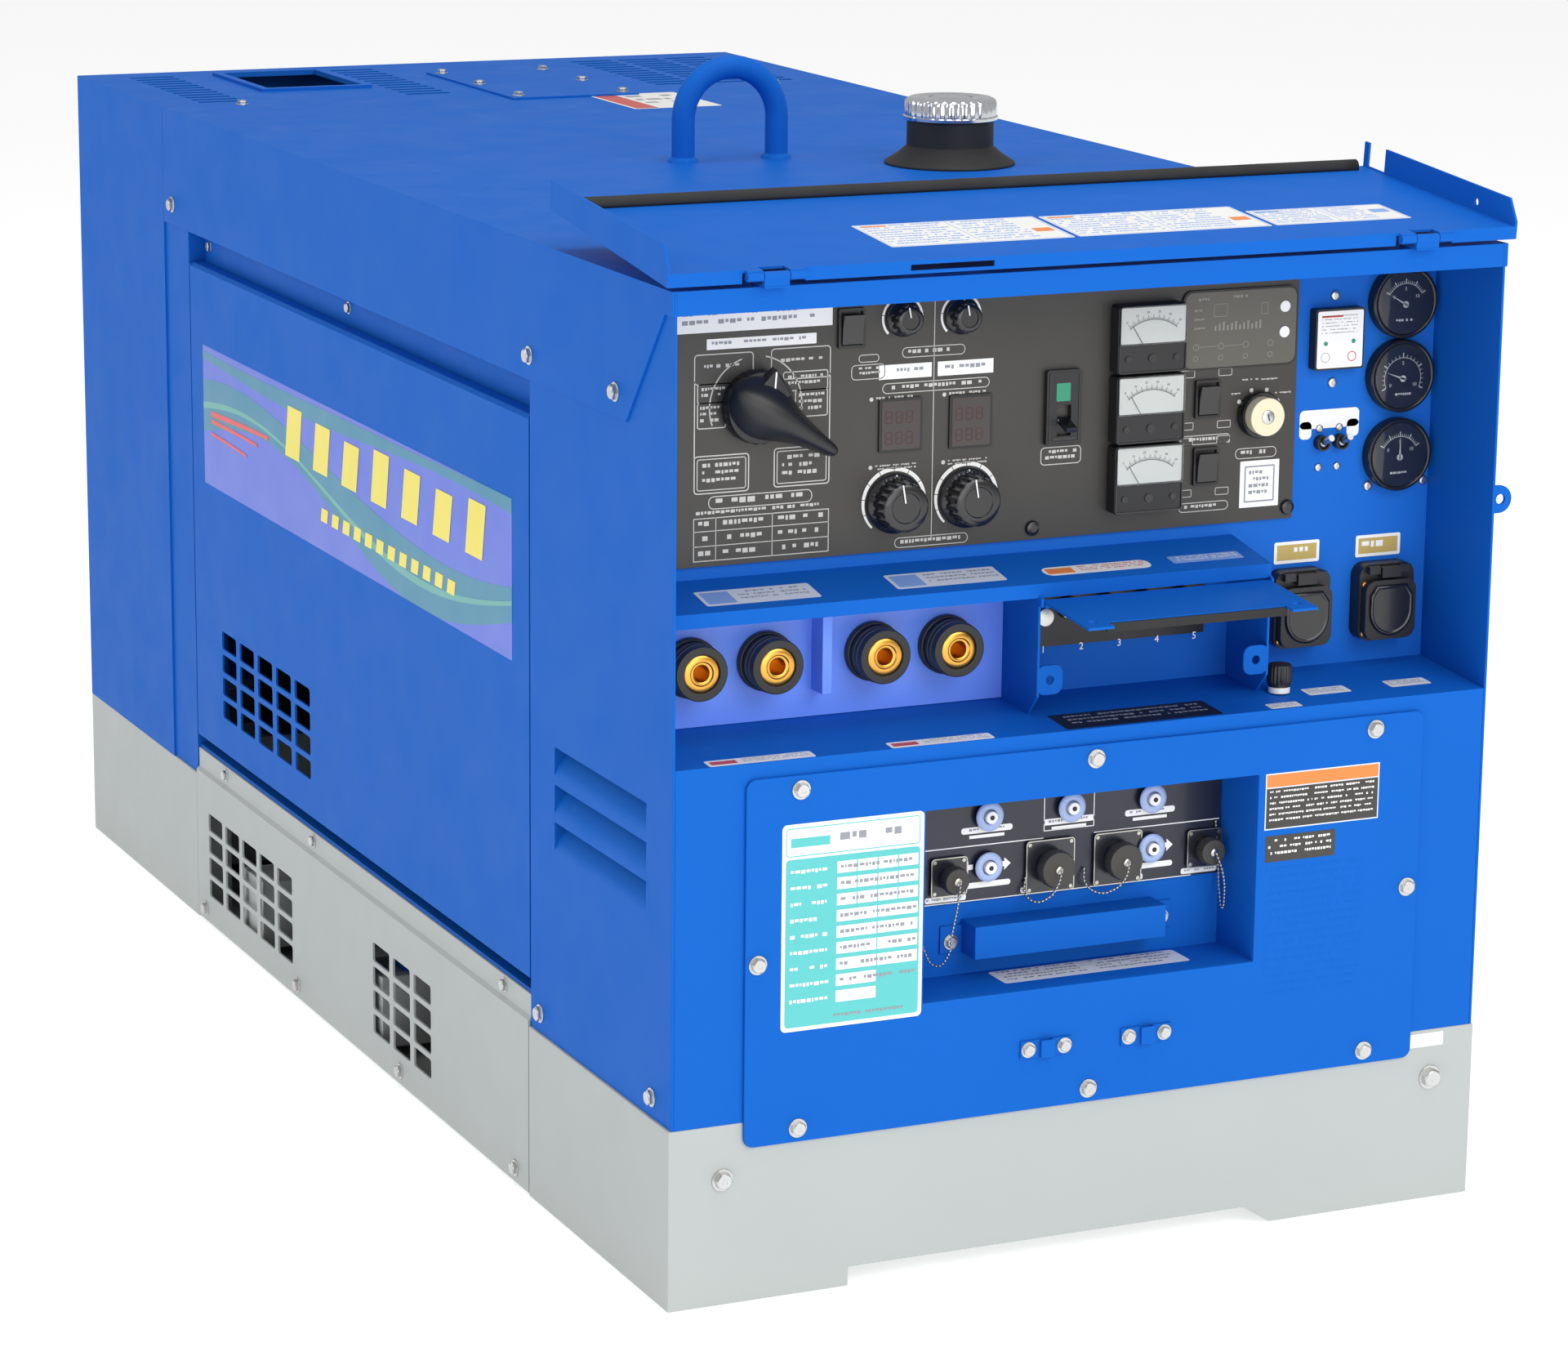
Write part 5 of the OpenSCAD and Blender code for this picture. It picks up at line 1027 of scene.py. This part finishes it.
pale = finish_of("pale_vinyl", "D5DCEB", 0.38, grain=90, depth=0.02, coat=0.2)
notice("hood_notice_a", hood_edge, slope, -302, 12, -209, 40, pale, ink_grey, 51, ink_blue)
notice("hood_notice_b", hood_edge, slope, -146, 13, -54, 41, pale, ink_grey, 52, ink_blue)
notice("hood_notice_c", hood_edge, slope, -20, 13, 72, 29, white, red, 53, ink_orange, 7)
notice("hood_notice_d", hood_edge, slope, 91, 16, 153, 30, ink_blue, white, 54, None)
ledge_along = Vector((0, 95, 7)).normalized()
ledge_edge = Vector((0, -750 * MM, 418 * MM))
post_foot = Vector((hood_high.x + 14 * MM, -712 * MM, 421.4 * MM))
turned("ground_post_knob", [(0, 5.4), (8.4, 5.4), (9.4, 7.2), (9.8, 9), (9.8, 20.4), (8.8, 22.3), (0, 22.6)],
       post_foot, Z, black, "machine", steps=120, flutes=20, depth=0.8, flute_span=(7, 21))
turned("ground_post_collar", [(7.6, 0.2), (8.5, 0.2), (8.5, 4.7), (8.2, 5.1), (7.6, 5.1), (7.6, 0.2)],
       post_foot, Z, white, "machine", steps=48)
notice("ledge_notice_a", ledge_edge, ledge_along, -318, 1, -232, 14, white, ink_grey, 55, red)
notice("ledge_notice_b", ledge_edge, ledge_along, -170, 1, -84, 14, white, ink_grey, 56, red)
notice("ledge_notice_c", ledge_edge, ledge_along, -22, 3, 113, 38, ink_black, ink_grey, 57, None)
notice("ledge_notice_d", ledge_edge, ledge_along, 202, 24, 240, 40, white, ink_grey, 58, None)
notice("ledge_notice_e", ledge_edge, ledge_along, 276, 24, 313, 40, white, ink_grey, 59, None)
notice("ledge_notice_f", ledge_edge, ledge_along, 155, 2, 183, 14, white, ink_grey, 60, None)

# ---------------------------------------------------------------- Front cover notices
# A teal and white data plate, an orange-headed notice and a small black plate,
# with plain dashes where the real ones carry print.
cover_low, cover_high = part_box("front_cover")
face = (0, cover_low.y, 0)
data = Film(face)
data.plate(-261, 209, -144.5, 369, 4)
data.done("data_plate", white)
teal = finish_of("teal_print", "53BDBC", 0.4, grain=200, depth=0.01, coat=0.15)
wash = Film(face, lift=0.18, thick=0.06)
wash.plate(-258, 212, -147.5, 342, 3)
wash.outline(-258, 344, -147.5, 366, 0.8, 3)
wash.bar(-254, 351, -222, 358)
wash.done("data_plate_wash", teal)
cells = Film(face, lift=0.25, thick=0.06)
for row in range(9):
    v = 330 - row * 12.5
    cells.rows(-254, v, -222, v + 3.5, 1, 0.8, row + 61)
    for col in range(4 if row < 3 else 2):
        w = 16 if row < 3 else 33
        if row < 7 or col == 0:
            cells.bar(-216 + col * (w + 1), v - 2, -217 + (col + 1) * (w + 1), v + 7)
cells.done("data_plate_cells", white)
figures = Film(face, lift=0.32, thick=0.05)
figures.rows(-214, 352, -152, 359, 1, 0.8, 71)
for row in range(8):
    v = 330 - row * 12.5
    figures.rows(-213, v, -150, v + 4, 1, 0.7, row + 72)
figures.rows(-218, 216, -160, 219, 1, 0.8, 90)
figures.done("data_plate_figures", ink_grey)
plate = Film(face)
plate.bar(149, 323, 251, 368)
plate.done("front_notice", pale)
orange_head = Film(face, lift=0.18, thick=0.06)
orange_head.bar(150, 357, 250, 367)
orange_head.done("front_notice_head", ink_orange)
body_ground = Film(face, lift=0.18, thick=0.06)
body_ground.bar(150, 324, 250, 356)
body_ground.done("front_notice_body", panel_look)
body_rows = Film(face, lift=0.25, thick=0.05)
body_rows.rows(153, 327, 247, 354, 6, 0.35, 95)
body_rows.done("front_notice_rows", white)
small = Film(face)
small.bar(150.5, 297, 213, 318)
small.done("front_small_plate", panel_look)
small_rows = Film(face, lift=0.18, thick=0.05)
small_rows.rows(153, 300, 211, 315, 3, 0.4, 97)
small_rows.done("front_small_rows", white)
emboss = Film(face, lift=0.0, thick=0.12)
emboss.rows(152, 185, 241, 292, 16, 0.4, 99)
emboss.done("cover_embossing", blue)
base_tag = Film((0, -750 * MM, 0))
base_tag.plate(291, 128, 322, 139, 1)
base_tag.done("base_tag", white)

# ---------------------------------------------------------------- Receptacles
# Four capped remote-control sockets and five reset buttons on a dark board,
# each cap held by a bead chain.
navy = finish_of("receptacle_board_laminate", "171B2C", 0.34, grain=700, depth=0.02, coat=0.2)
softened("receptacle_board", 0.4, navy)
cap_look = finish_of("cap_rubber", "3B3935", 0.55, grain=600, depth=0.06, drift=0.1)
nickel = finish_of("nickel_plate", "B9B6AE", 0.28, grain=300, depth=0.02, metal=1.0, drift=0.06)
board_black = finish_of("plate_plastic", "24262C", 0.25, grain=500, depth=0.01, coat=0.3)
steel_blue = finish_of("button_ring_enamel", "9DB1D8", 0.3, grain=400, depth=0.01, coat=0.3)
board_low, board_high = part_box("receptacle_board")
board_face = (0, -696.5 * MM, 0)
REC = ((-96, 11), (-9, 15), (50, 15), (127, 11))
for index, (x, r) in enumerate(REC):
    node = "receptacle_cap_%d" % (index + 1)
    cap_low, cap_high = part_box(node)
    at = Vector((x * MM, cap_low.y + 9 * MM, 298 * MM))
    turned_cap = turned(node + "_cap", [(0, -0.1), (r - 0.5, -0.1), (r, 0.6), (r, 7), (r - 1.2, 8.6), (r * 0.6, 9), (0, 9)],
                        at, (0, -1, 0), cap_look, BODY_OF[node], steps=96, flutes=24, depth=0.8,
                        flute_span=(0.5, 7.2))
    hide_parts(node)
    turned(node + "_boss", [(0, 0.05), (3.2, 0.05), (3.2, 0.9), (2.4, 1.5), (0, 1.6)], at + Vector((0, -9 * MM, 0)), (0, -1, 0),
           nickel, BODY_OF[node], steps=24)
    half = 1.4 * r
    plate = Film(board_face, lift=2.05, thick=1.0)
    plate.hoop(Film.rounded(x - half, 298 - half, x + half, 298 + half, 3, 7), plate.circle(x, 298, r - 2.2, 32))
    plate.done("receptacle_plate_%d" % (index + 1), board_black)
    rim = Film(board_face, lift=3.1, thick=0.25)
    rim.outline(x - half, 298 - half, x + half, 298 + half, 0.8, 3)
    for du in (-1, 1):
        for dv in (-1, 1):
            rim.disc(x + du * (half - 3), 298 + dv * (half - 3), 1.5)
    rim.done("receptacle_rim_%d" % (index + 1), nickel)
for index in range(5):
    node = "protector_button_%d" % (index + 1)
    softened(node, 0.8, white, segments=3)
    low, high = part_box(node)
    mid = Vector(((low.x + high.x) / 2, low.y, (low.z + high.z) / 2))
    turned(node + "_ring", [(5.6, 3.2), (11.6, 3.2), (11.6, 4.2), (10.4, 5.4), (7.4, 5.8), (6.0, 5.2), (5.6, 4.4), (5.6, 3.2)],
           mid + Vector((0, 8 * MM, 0)), (0, -1, 0), steel_blue, "machine", steps=48)
    eye = Film(mid, lift=0.02, thick=0.25)
    eye.disc(0, 0, 1.9)
    eye.done(node + "_eye", ink_black, BODY_OF[node])
art = Film(board_face)
for x in (-63, 79):
    for side in (-1, 1):
        tip, root, tail = x + side * 21, x + side * 15.5, x + side * 11.5
        arrow = [(tip, 303), (root, 308), (root, 305), (tail, 305), (tail, 301), (root, 301), (root, 298)]
        art.sheet(arrow if side < 0 else arrow[::-1])
    art.sheet(Film.rounded(x - 21, 286, x + 21, 290.5, 2, 5))
for x in (-63, 8, 79):
    art.sheet(Film.rounded(x - 22, 329.5, x + 22, 334.5, 2.2, 5))
    art.bar(x - 15, 325.5, x + 15, 328)
for x0, x1 in ((-115, -80), (-33, 12), (30, 74), (108, 140)):
    art.sheet(Film.rounded(x0, 277.6, x1, 282.2, 1.6, 4))
art.outline(-14, 325, 30, 365, 0.7, 0.5)
art.bar(-141, 319.4, -14, 320.2)
art.bar(30, 319.4, 141, 320.2)
art.bar(-117, 276, 117, 276.7)
art.done("receptacle_art", white)
art_rows = Film(board_face, lift=0.2, thick=0.06)
for x0, x1 in ((-115, -80), (-33, 12), (30, 74), (108, 140)):
    art_rows.rows(x0 + 1, 278.8, x1 - 1, 281, 1, 0.7, int(x0) % 90)
for x in (-63, 8, 79):
    art_rows.rows(x - 18, 330.6, x + 18, 333.4, 1, 0.7, x % 90)
art_rows.done("receptacle_art_rows", ink_grey)
sill_notice = Film((0, -725 * MM, 218 * MM), X, Y, 0.05, 0.12)
sill_notice.plate(-62, -6, 100, 25, 3)
sill_notice.done("sill_notice", white)
sill_rows = Film((0, -725 * MM, 218 * MM), X, Y, 0.18, 0.06)
sill_rows.rows(-56, -3, 14, 23, 4, 0.45, 101)
sill_rows.rows(24, -3, 94, 23, 4, 0.45, 102)
sill_rows.done("sill_notice_print", ink_grey)

# ---------------------------------------------------------------- Bead chains
# Ball chains of 2.4 mm steel beads that keep the receptacle caps, made by a node
# tree that sets beads at an even pitch on each chain's curve.


def bead_tree():
    tree = bpy.data.node_groups.new("bead_chain", "GeometryNodeTree")
    face = tree.interface
    face.new_socket("Chain", in_out="INPUT", socket_type="NodeSocketGeometry")
    face.new_socket("Pitch", in_out="INPUT", socket_type="NodeSocketFloat")
    face.new_socket("Bead Radius", in_out="INPUT", socket_type="NodeSocketFloat")
    face.new_socket("Wire Radius", in_out="INPUT", socket_type="NodeSocketFloat")
    face.new_socket("Look", in_out="INPUT", socket_type="NodeSocketMaterial")
    face.new_socket("Chain", in_out="OUTPUT", socket_type="NodeSocketGeometry")
    n, link = tree.nodes, tree.links.new
    start, end = n.new("NodeGroupInput"), n.new("NodeGroupOutput")
    even = n.new("GeometryNodeResampleCurve")
    even.mode = "LENGTH"
    link(start.outputs["Chain"], even.inputs["Curve"])
    link(start.outputs["Pitch"], even.inputs["Length"])
    bead = n.new("GeometryNodeMeshUVSphere")
    bead.inputs["Segments"].default_value = 10
    bead.inputs["Rings"].default_value = 6
    link(start.outputs["Bead Radius"], bead.inputs["Radius"])
    spread = n.new("GeometryNodeInstanceOnPoints")
    link(even.outputs["Curve"], spread.inputs["Points"])
    link(bead.outputs["Mesh"], spread.inputs["Instance"])
    real = n.new("GeometryNodeRealizeInstances")
    link(spread.outputs["Instances"], real.inputs["Geometry"])
    round_wire = n.new("GeometryNodeCurvePrimitiveCircle")
    round_wire.inputs["Resolution"].default_value = 6
    link(start.outputs["Wire Radius"], round_wire.inputs["Radius"])
    wire = n.new("GeometryNodeCurveToMesh")
    wire.inputs["Fill Caps"].default_value = True
    link(start.outputs["Chain"], wire.inputs["Curve"])
    link(round_wire.outputs["Curve"], wire.inputs["Profile Curve"])
    both = n.new("GeometryNodeJoinGeometry")
    link(real.outputs["Geometry"], both.inputs["Geometry"])
    link(wire.outputs["Mesh"], both.inputs["Geometry"])
    paint = n.new("GeometryNodeSetMaterial")
    link(both.outputs["Geometry"], paint.inputs["Geometry"])
    link(start.outputs["Look"], paint.inputs["Material"])
    link(paint.outputs["Geometry"], end.inputs["Chain"])
    return tree


def fill_inputs(modifier, tree, values):
    """Sets a node modifier's inputs by their names on the tree."""
    modifier.node_group = tree
    for item in tree.interface.items_tree:
        if item.in_out == "INPUT" and item.name in values:
            modifier[item.identifier] = values[item.name]


def one_look(mesh, look):
    """Leaves a made mesh with a single material slot."""
    mesh.materials.clear()
    mesh.materials.append(look)
    mesh.polygons.foreach_set("material_index", [0] * len(mesh.polygons))


beads = bead_tree()


def bead_chain(name, points, body="machine"):
    curve = bpy.data.curves.new(name, "CURVE")
    curve.dimensions = "3D"
    spline = curve.splines.new("BEZIER")
    spline.bezier_points.add(len(points) - 1)
    for spot, p in zip(spline.bezier_points, points):
        spot.co = Vector(p) * MM
        spot.handle_left_type = spot.handle_right_type = "AUTO"
    rope = bpy.data.objects.new(name + "_curve", curve)
    here.link(rope)
    fill_inputs(rope.modifiers.new("beads", "NODES"), beads,
                {"Pitch": 3.1 * MM, "Bead Radius": 1.2 * MM, "Wire Radius": 0.35 * MM, "Look": nickel})
    bpy.context.view_layer.update()
    depsgraph = bpy.context.evaluated_depsgraph_get()
    mesh = bpy.data.meshes.new_from_object(rope.evaluated_get(depsgraph), depsgraph=depsgraph)
    bpy.data.objects.remove(rope)
    mesh.name = name
    one_look(mesh, nickel)
    piece = bpy.data.objects.new(name, mesh)
    here.link(piece)
    for poly in mesh.polygons:
        poly.use_smooth = True
    return settle(piece, body)


bead_chain("chain_1", [(-96, -719, 298), (-99, -722, 285), (-103, -721, 262), (-106, -718, 240), (-112, -711, 232),
                       (-118, -704, 242), (-119, -700, 262), (-118, -698, 280)])
bead_chain("chain_2", [(-9, -719, 298), (-14, -722, 288), (-20, -718, 278), (-28, -710, 274), (-32, -702, 280), (-30, -698.5, 290)])
bead_chain("chain_3", [(50, -719, 298), (45, -722, 288), (38, -718, 279), (28, -710, 275), (20, -703, 282), (21, -698.5, 292)])
bead_chain("chain_4", [(127, -719, 298), (131, -722, 284), (135, -719, 264), (136, -714, 252), (138, -706, 262),
                       (139, -701, 282), (138, -698.5, 306), (137, -698.5, 318)])

# ---------------------------------------------------------------- Bolts and screws
# Zinc-plated hexagon bolts with pressed washers, set by a node tree on the places
# and directions of the CAD bolts, each turned by a chance angle.


def islands(node):
    """The separate solids of a CAD node, as (lowest corner, highest corner)."""
    work = bmesh.new()
    work.from_mesh(NODES[node].data)
    bmesh.ops.remove_doubles(work, verts=work.verts, dist=0.02 * MM)
    left, found = set(work.verts), []
    while left:
        queue, group = [left.pop()], []
        while queue:
            vert = queue.pop()
            group.append(vert.co.copy())
            for edge in vert.link_edges:
                other = edge.other_vert(vert)
                if other in left:
                    left.remove(other)
                    queue.append(other)
        found.append(tuple(Vector([pick(p[i] for p in group) for i in range(3)]) for pick in (min, max)))
    work.free()
    return found


def fastener_tree():
    tree = bpy.data.node_groups.new("fastener_rows", "GeometryNodeTree")
    face = tree.interface
    face.new_socket("Spots", in_out="INPUT", socket_type="NodeSocketGeometry")
    face.new_socket("Head", in_out="INPUT", socket_type="NodeSocketObject")
    face.new_socket("Turn", in_out="INPUT", socket_type="NodeSocketFloat")
    face.new_socket("Seed", in_out="INPUT", socket_type="NodeSocketInt")
    face.new_socket("Look", in_out="INPUT", socket_type="NodeSocketMaterial")
    face.new_socket("Fasteners", in_out="OUTPUT", socket_type="NodeSocketGeometry")
    n, link = tree.nodes, tree.links.new
    start, end = n.new("NodeGroupInput"), n.new("NodeGroupOutput")
    head = n.new("GeometryNodeObjectInfo")
    link(start.outputs["Head"], head.inputs["Object"])
    facing = n.new("GeometryNodeInputNamedAttribute")
    facing.data_type = "FLOAT_VECTOR"
    facing.inputs["Name"].default_value = "facing"
    size = n.new("GeometryNodeInputNamedAttribute")
    size.data_type = "FLOAT"
    size.inputs["Name"].default_value = "size"
    aim = n.new("FunctionNodeAlignRotationToVector")
    aim.axis = "Z"
    link(facing.outputs["Attribute"], aim.inputs["Vector"])
    chance = n.new("FunctionNodeRandomValue")
    chance.data_type = "FLOAT"
    link(start.outputs["Turn"], chance.inputs[3])
    link(start.outputs["Seed"], chance.inputs["Seed"])
    about = n.new("FunctionNodeAxisAngleToRotation")
    about.inputs["Axis"].default_value = (0, 0, 1)
    link(chance.outputs[1], about.inputs["Angle"])
    spun = n.new("FunctionNodeRotateRotation")
    spun.rotation_space = "LOCAL"
    link(aim.outputs["Rotation"], spun.inputs["Rotation"])
    link(about.outputs["Rotation"], spun.inputs["Rotate By"])
    spread = n.new("GeometryNodeInstanceOnPoints")
    link(start.outputs["Spots"], spread.inputs["Points"])
    link(head.outputs["Geometry"], spread.inputs["Instance"])
    link(spun.outputs["Rotation"], spread.inputs["Rotation"])
    link(size.outputs["Attribute"], spread.inputs["Scale"])
    real = n.new("GeometryNodeRealizeInstances")
    link(spread.outputs["Instances"], real.inputs["Geometry"])
    paint = n.new("GeometryNodeSetMaterial")
    link(real.outputs["Geometry"], paint.inputs["Geometry"])
    link(start.outputs["Look"], paint.inputs["Material"])
    link(paint.outputs["Geometry"], end.inputs["Fasteners"])
    return tree


rows_of = fastener_tree()


def set_out(name, spots, head, look, body="machine", turn=math.tau, seed=7):
    """Puts a head on each spot, given as (place, facing, size)."""
    mesh = bpy.data.meshes.new(name + "_spots")
    mesh.from_pydata([p for p, _, _ in spots], [], [])
    mesh.attributes.new("facing", "FLOAT_VECTOR", "POINT")
    mesh.attributes.new("size", "FLOAT", "POINT")
    for i, (_, f, s) in enumerate(spots):
        mesh.attributes["facing"].data[i].vector = f
        mesh.attributes["size"].data[i].value = s
    holder = bpy.data.objects.new(name + "_spots", mesh)
    here.link(holder)
    fill_inputs(holder.modifiers.new("rows", "NODES"), rows_of, {"Head": head, "Turn": turn, "Seed": seed, "Look": look})
    bpy.context.view_layer.update()
    depsgraph = bpy.context.evaluated_depsgraph_get()
    made = bpy.data.meshes.new_from_object(holder.evaluated_get(depsgraph), depsgraph=depsgraph)
    bpy.data.objects.remove(holder)
    made.name = name
    one_look(made, look)
    piece = bpy.data.objects.new(name, made)
    here.link(piece)
    return settle(piece, body)


def lathed_head(name, profile, steps, hexagon=False):
    """A screw or bolt head pointing +Z, one unit in radius, for use by set_out()."""
    work = bmesh.new()
    loops = []
    for r, h in profile:
        sides = 6 if hexagon else steps
        loops.append([work.verts.new((r * math.cos(math.tau * i / sides), r * math.sin(math.tau * i / sides), h))
                      for i in range(sides)])
    for one, two in zip(loops, loops[1:]):
        for i in range(len(one)):
            j = (i + 1) % len(one)
            work.faces.new((one[i], one[j], two[j], two[i]))
    work.faces.new(loops[0][::-1])
    work.faces.new(loops[-1])
    return work


def hex_bolt():
    """Washer, hexagon and a turned top chamfer, for a hexagon of radius 1."""
    washer = lathed_head("washer", [(1.0, 0), (1.25, 0), (1.25, 0.13), (1.2, 0.17), (0.5, 0.17)], 28)
    hexagon = lathed_head("hexagon", [(1.0, 0.16), (1.0, 0.62), (0.88, 0.72), (0.5, 0.72)], 6, hexagon=True)
    crown = lathed_head("crown", [(0.84, 0.7), (0.84, 0.74), (0.76, 0.8), (0.3, 0.8), (0.26, 0.77), (0.02, 0.77)], 24)
    whole = bmesh.new()
    for part in (washer, hexagon, crown):
        mesh = bpy.data.meshes.new("part")
        part.to_mesh(mesh)
        part.free()
        whole.from_mesh(mesh)
        bpy.data.meshes.remove(mesh)
    bmesh.ops.recalc_face_normals(whole, faces=whole.faces)
    mesh = bpy.data.meshes.new("hex_bolt_head")
    whole.to_mesh(mesh)
    whole.free()
    return bpy.data.objects.new("hex_bolt_head", mesh)


bolt_spots, screw_spots = [], []
for low, high in islands("body_bolts"):
    size = high - low
    thin = min(range(3), key=lambda i: size[i])
    middle = (low + high) / 2
    facing = Vector((0, 0, 0))
    outward = 1 if thin == 2 or (middle[thin] > 0 and thin == 0) or (thin == 1 and middle.y > 0) else -1
    facing[thin] = outward
    seat = middle.copy()
    seat[thin] = low[thin] if outward > 0 else high[thin]
    across = sorted(size)[1]
    if across < 8.5 * MM or 11.5 * MM < across < 12.3 * MM and thin == 1 and middle.z > 0.5:
        screw_spots.append((seat, facing, across / 2))
    else:
        bolt_spots.append((seat, facing, across / 2.5))
head = hex_bolt()
bolts = set_out("hex_bolts", bolt_spots, head, zinc, seed=11)
bpy.data.objects.remove(head)
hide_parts("body_bolts")
pan = lathed_head("pan", [(0.5, 0), (1.0, 0), (1.0, 0.25), (0.86, 0.45), (0.5, 0.55), (0.05, 0.55)], 24)
bmesh.ops.recalc_face_normals(pan, faces=pan.faces)
pan_mesh = bpy.data.meshes.new("pan_head")
pan.to_mesh(pan_mesh)
pan.free()
pan_head = bpy.data.objects.new("pan_head", pan_mesh)
knurled = [s for s in screw_spots if s[2] > 5 * MM]
small = [s for s in screw_spots if s[2] <= 5 * MM]
set_out("panel_thumb_screws", knurled, pan_head, black_gloss, seed=3)
small += [(Vector((x * MM, plate_y, z * MM)), Vector((0, -1, 0)), r * MM)
          for x, z, r in ((244, 616, 3.2), (262, 616, 3.2), (244, 585, 3.2), (261, 585, 3.2), (290, 567, 4), (341, 568, 4))]
set_out("small_screws", small, pan_head, zinc, seed=5)
copper = finish_of("copper_screw", "C98A5A", 0.3, grain=300, depth=0.02, metal=1.0)
outlet_face = plate_y - 14 * MM
set_out("outlet_screws", [(Vector((x * MM, outlet_face, z * MM)), Vector((0, -1, 0)), 2.6 * MM)
                          for x in (205.5, 246.5, 282.5, 323.5) for z in (450, 490)], pan_head, copper, seed=9)
bpy.data.objects.remove(pan_head)

# ---------------------------------------------------------------- Lifting bow and filler
# A bent 20 mm bar welded through the roof, and a chromed ribbed cap on a black
# neck with a rubber boot.
softened("lifting_frame", 0.6, blue)
softened("fuel_tank", 0.6, rubber)
chrome = finish_of("bright_chrome", "D9DCE0", 0.12, grain=200, depth=0.01, drift=0.03, metal=1.0)
cap_low, cap_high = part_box("fuel_cap")
cap_mid = Vector(((cap_low.x + cap_high.x) / 2, (cap_low.y + cap_high.y) / 2, 0))
cap_r = (cap_high.x - cap_low.x) / 2 / MM
cap_top = cap_high.z / MM
cap_foot = cap_top - 20
crown = [(0, cap_foot - 18), (30, cap_foot - 18), (30, cap_foot), (cap_r - 0.8, cap_foot), (cap_r, cap_foot + 0.8),
         (cap_r, cap_foot + 3), (cap_r - 1.2, cap_foot + 4), (cap_r - 1.2, cap_top - 6), (cap_r - 2.2, cap_top - 3),
         (cap_r - 6, cap_top - 1), (cap_r - 12, cap_top - 0.6), (cap_r - 14, cap_top - 1.6), (cap_r - 24, cap_top - 1.6),
         (cap_r - 26, cap_top - 0.4), (0, cap_top)]
cap = turned("fuel_cap_crown", crown, cap_mid, (0, 0, 1), chrome, BODY_OF["fuel_cap"], steps=192, flutes=32,
             depth=1.4, flute_span=(cap_foot + 3.5, cap_top - 2.5))
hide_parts("fuel_cap")
bow_low, bow_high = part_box("lifting_frame")
bow_x = -8 * MM
for side in (-1, 1):
    ring = []
    steps = 36
    centre = Vector((bow_x + side * 44 * MM, -75 * MM, cad_box[0].z + 770 * MM))
    bead_profile = [(9.6, 0), (13.6, 0), (13.4, 1.2), (12.4, 2.6), (11.0, 3.8), (9.6, 4.2), (9.6, 0)]
    turned("weld_bead_%s" % ("left" if side < 0 else "right"), bead_profile, centre, (0, 0, 1), blue, "machine",
           steps=72, flutes=15, depth=0.6, flute_span=(0.5, 4))

# ---------------------------------------------------------------- Roof notices
# One white notice behind the bow.
notice("roof_notice", Vector((0, 0, 0.770)), Y, 60, 300, 150, 420, white, ink_grey, 111, red, 3)

# ---------------------------------------------------------------- Power unit
# Painted castings, a black radiator with fins, rubber mounts and a rusty-brown
# silencer, all seen only through the vents.
iron = finish_of("engine_paint", "53585B", 0.5, grain=260, depth=0.15, drift=0.15)
hot_steel = finish_of("silencer_steel", "5E564F", 0.5, grain=180, depth=0.12, drift=0.25, metal=0.6)
for node, look, radius in (("engine_block", iron, 3), ("engine_ancillaries", black, 2), ("radiator", black, 1),
                           ("muffler", hot_steel, 2), ("generator_housing", grey, 2), ("engine_mounts", rubber, 2),
                           ("rotor_shaft", zinc, 0.8)):
    softened(node, radius, look)

# ---------------------------------------------------------------- Floor
# A wide matt white board.
floor_mesh = bpy.data.meshes.new("studio_floor")
FLOOR_HALF, FLOOR_Z, FLOOR_GLOW = 30, -0.0005, 0.45
floor_mesh.from_pydata([(x, y, FLOOR_Z) for x, y in ((-FLOOR_HALF, -FLOOR_HALF), (FLOOR_HALF, -FLOOR_HALF),
                                                    (FLOOR_HALF, FLOOR_HALF), (-FLOOR_HALF, FLOOR_HALF))], [], [(0, 1, 2, 3)])
board = finish_of("studio_board", "F6F6F6", 0.7, grain=40, depth=0.02, drift=0.01)
shader = board.node_tree.nodes["Principled BSDF"]
shader.inputs["Emission Color"].default_value = (1, 1, 1, 1)
shader.inputs["Emission Strength"].default_value = FLOOR_GLOW
floor_mesh.materials.append(board)
floor = bpy.data.objects.new("studio_floor", floor_mesh)
here.link(floor)
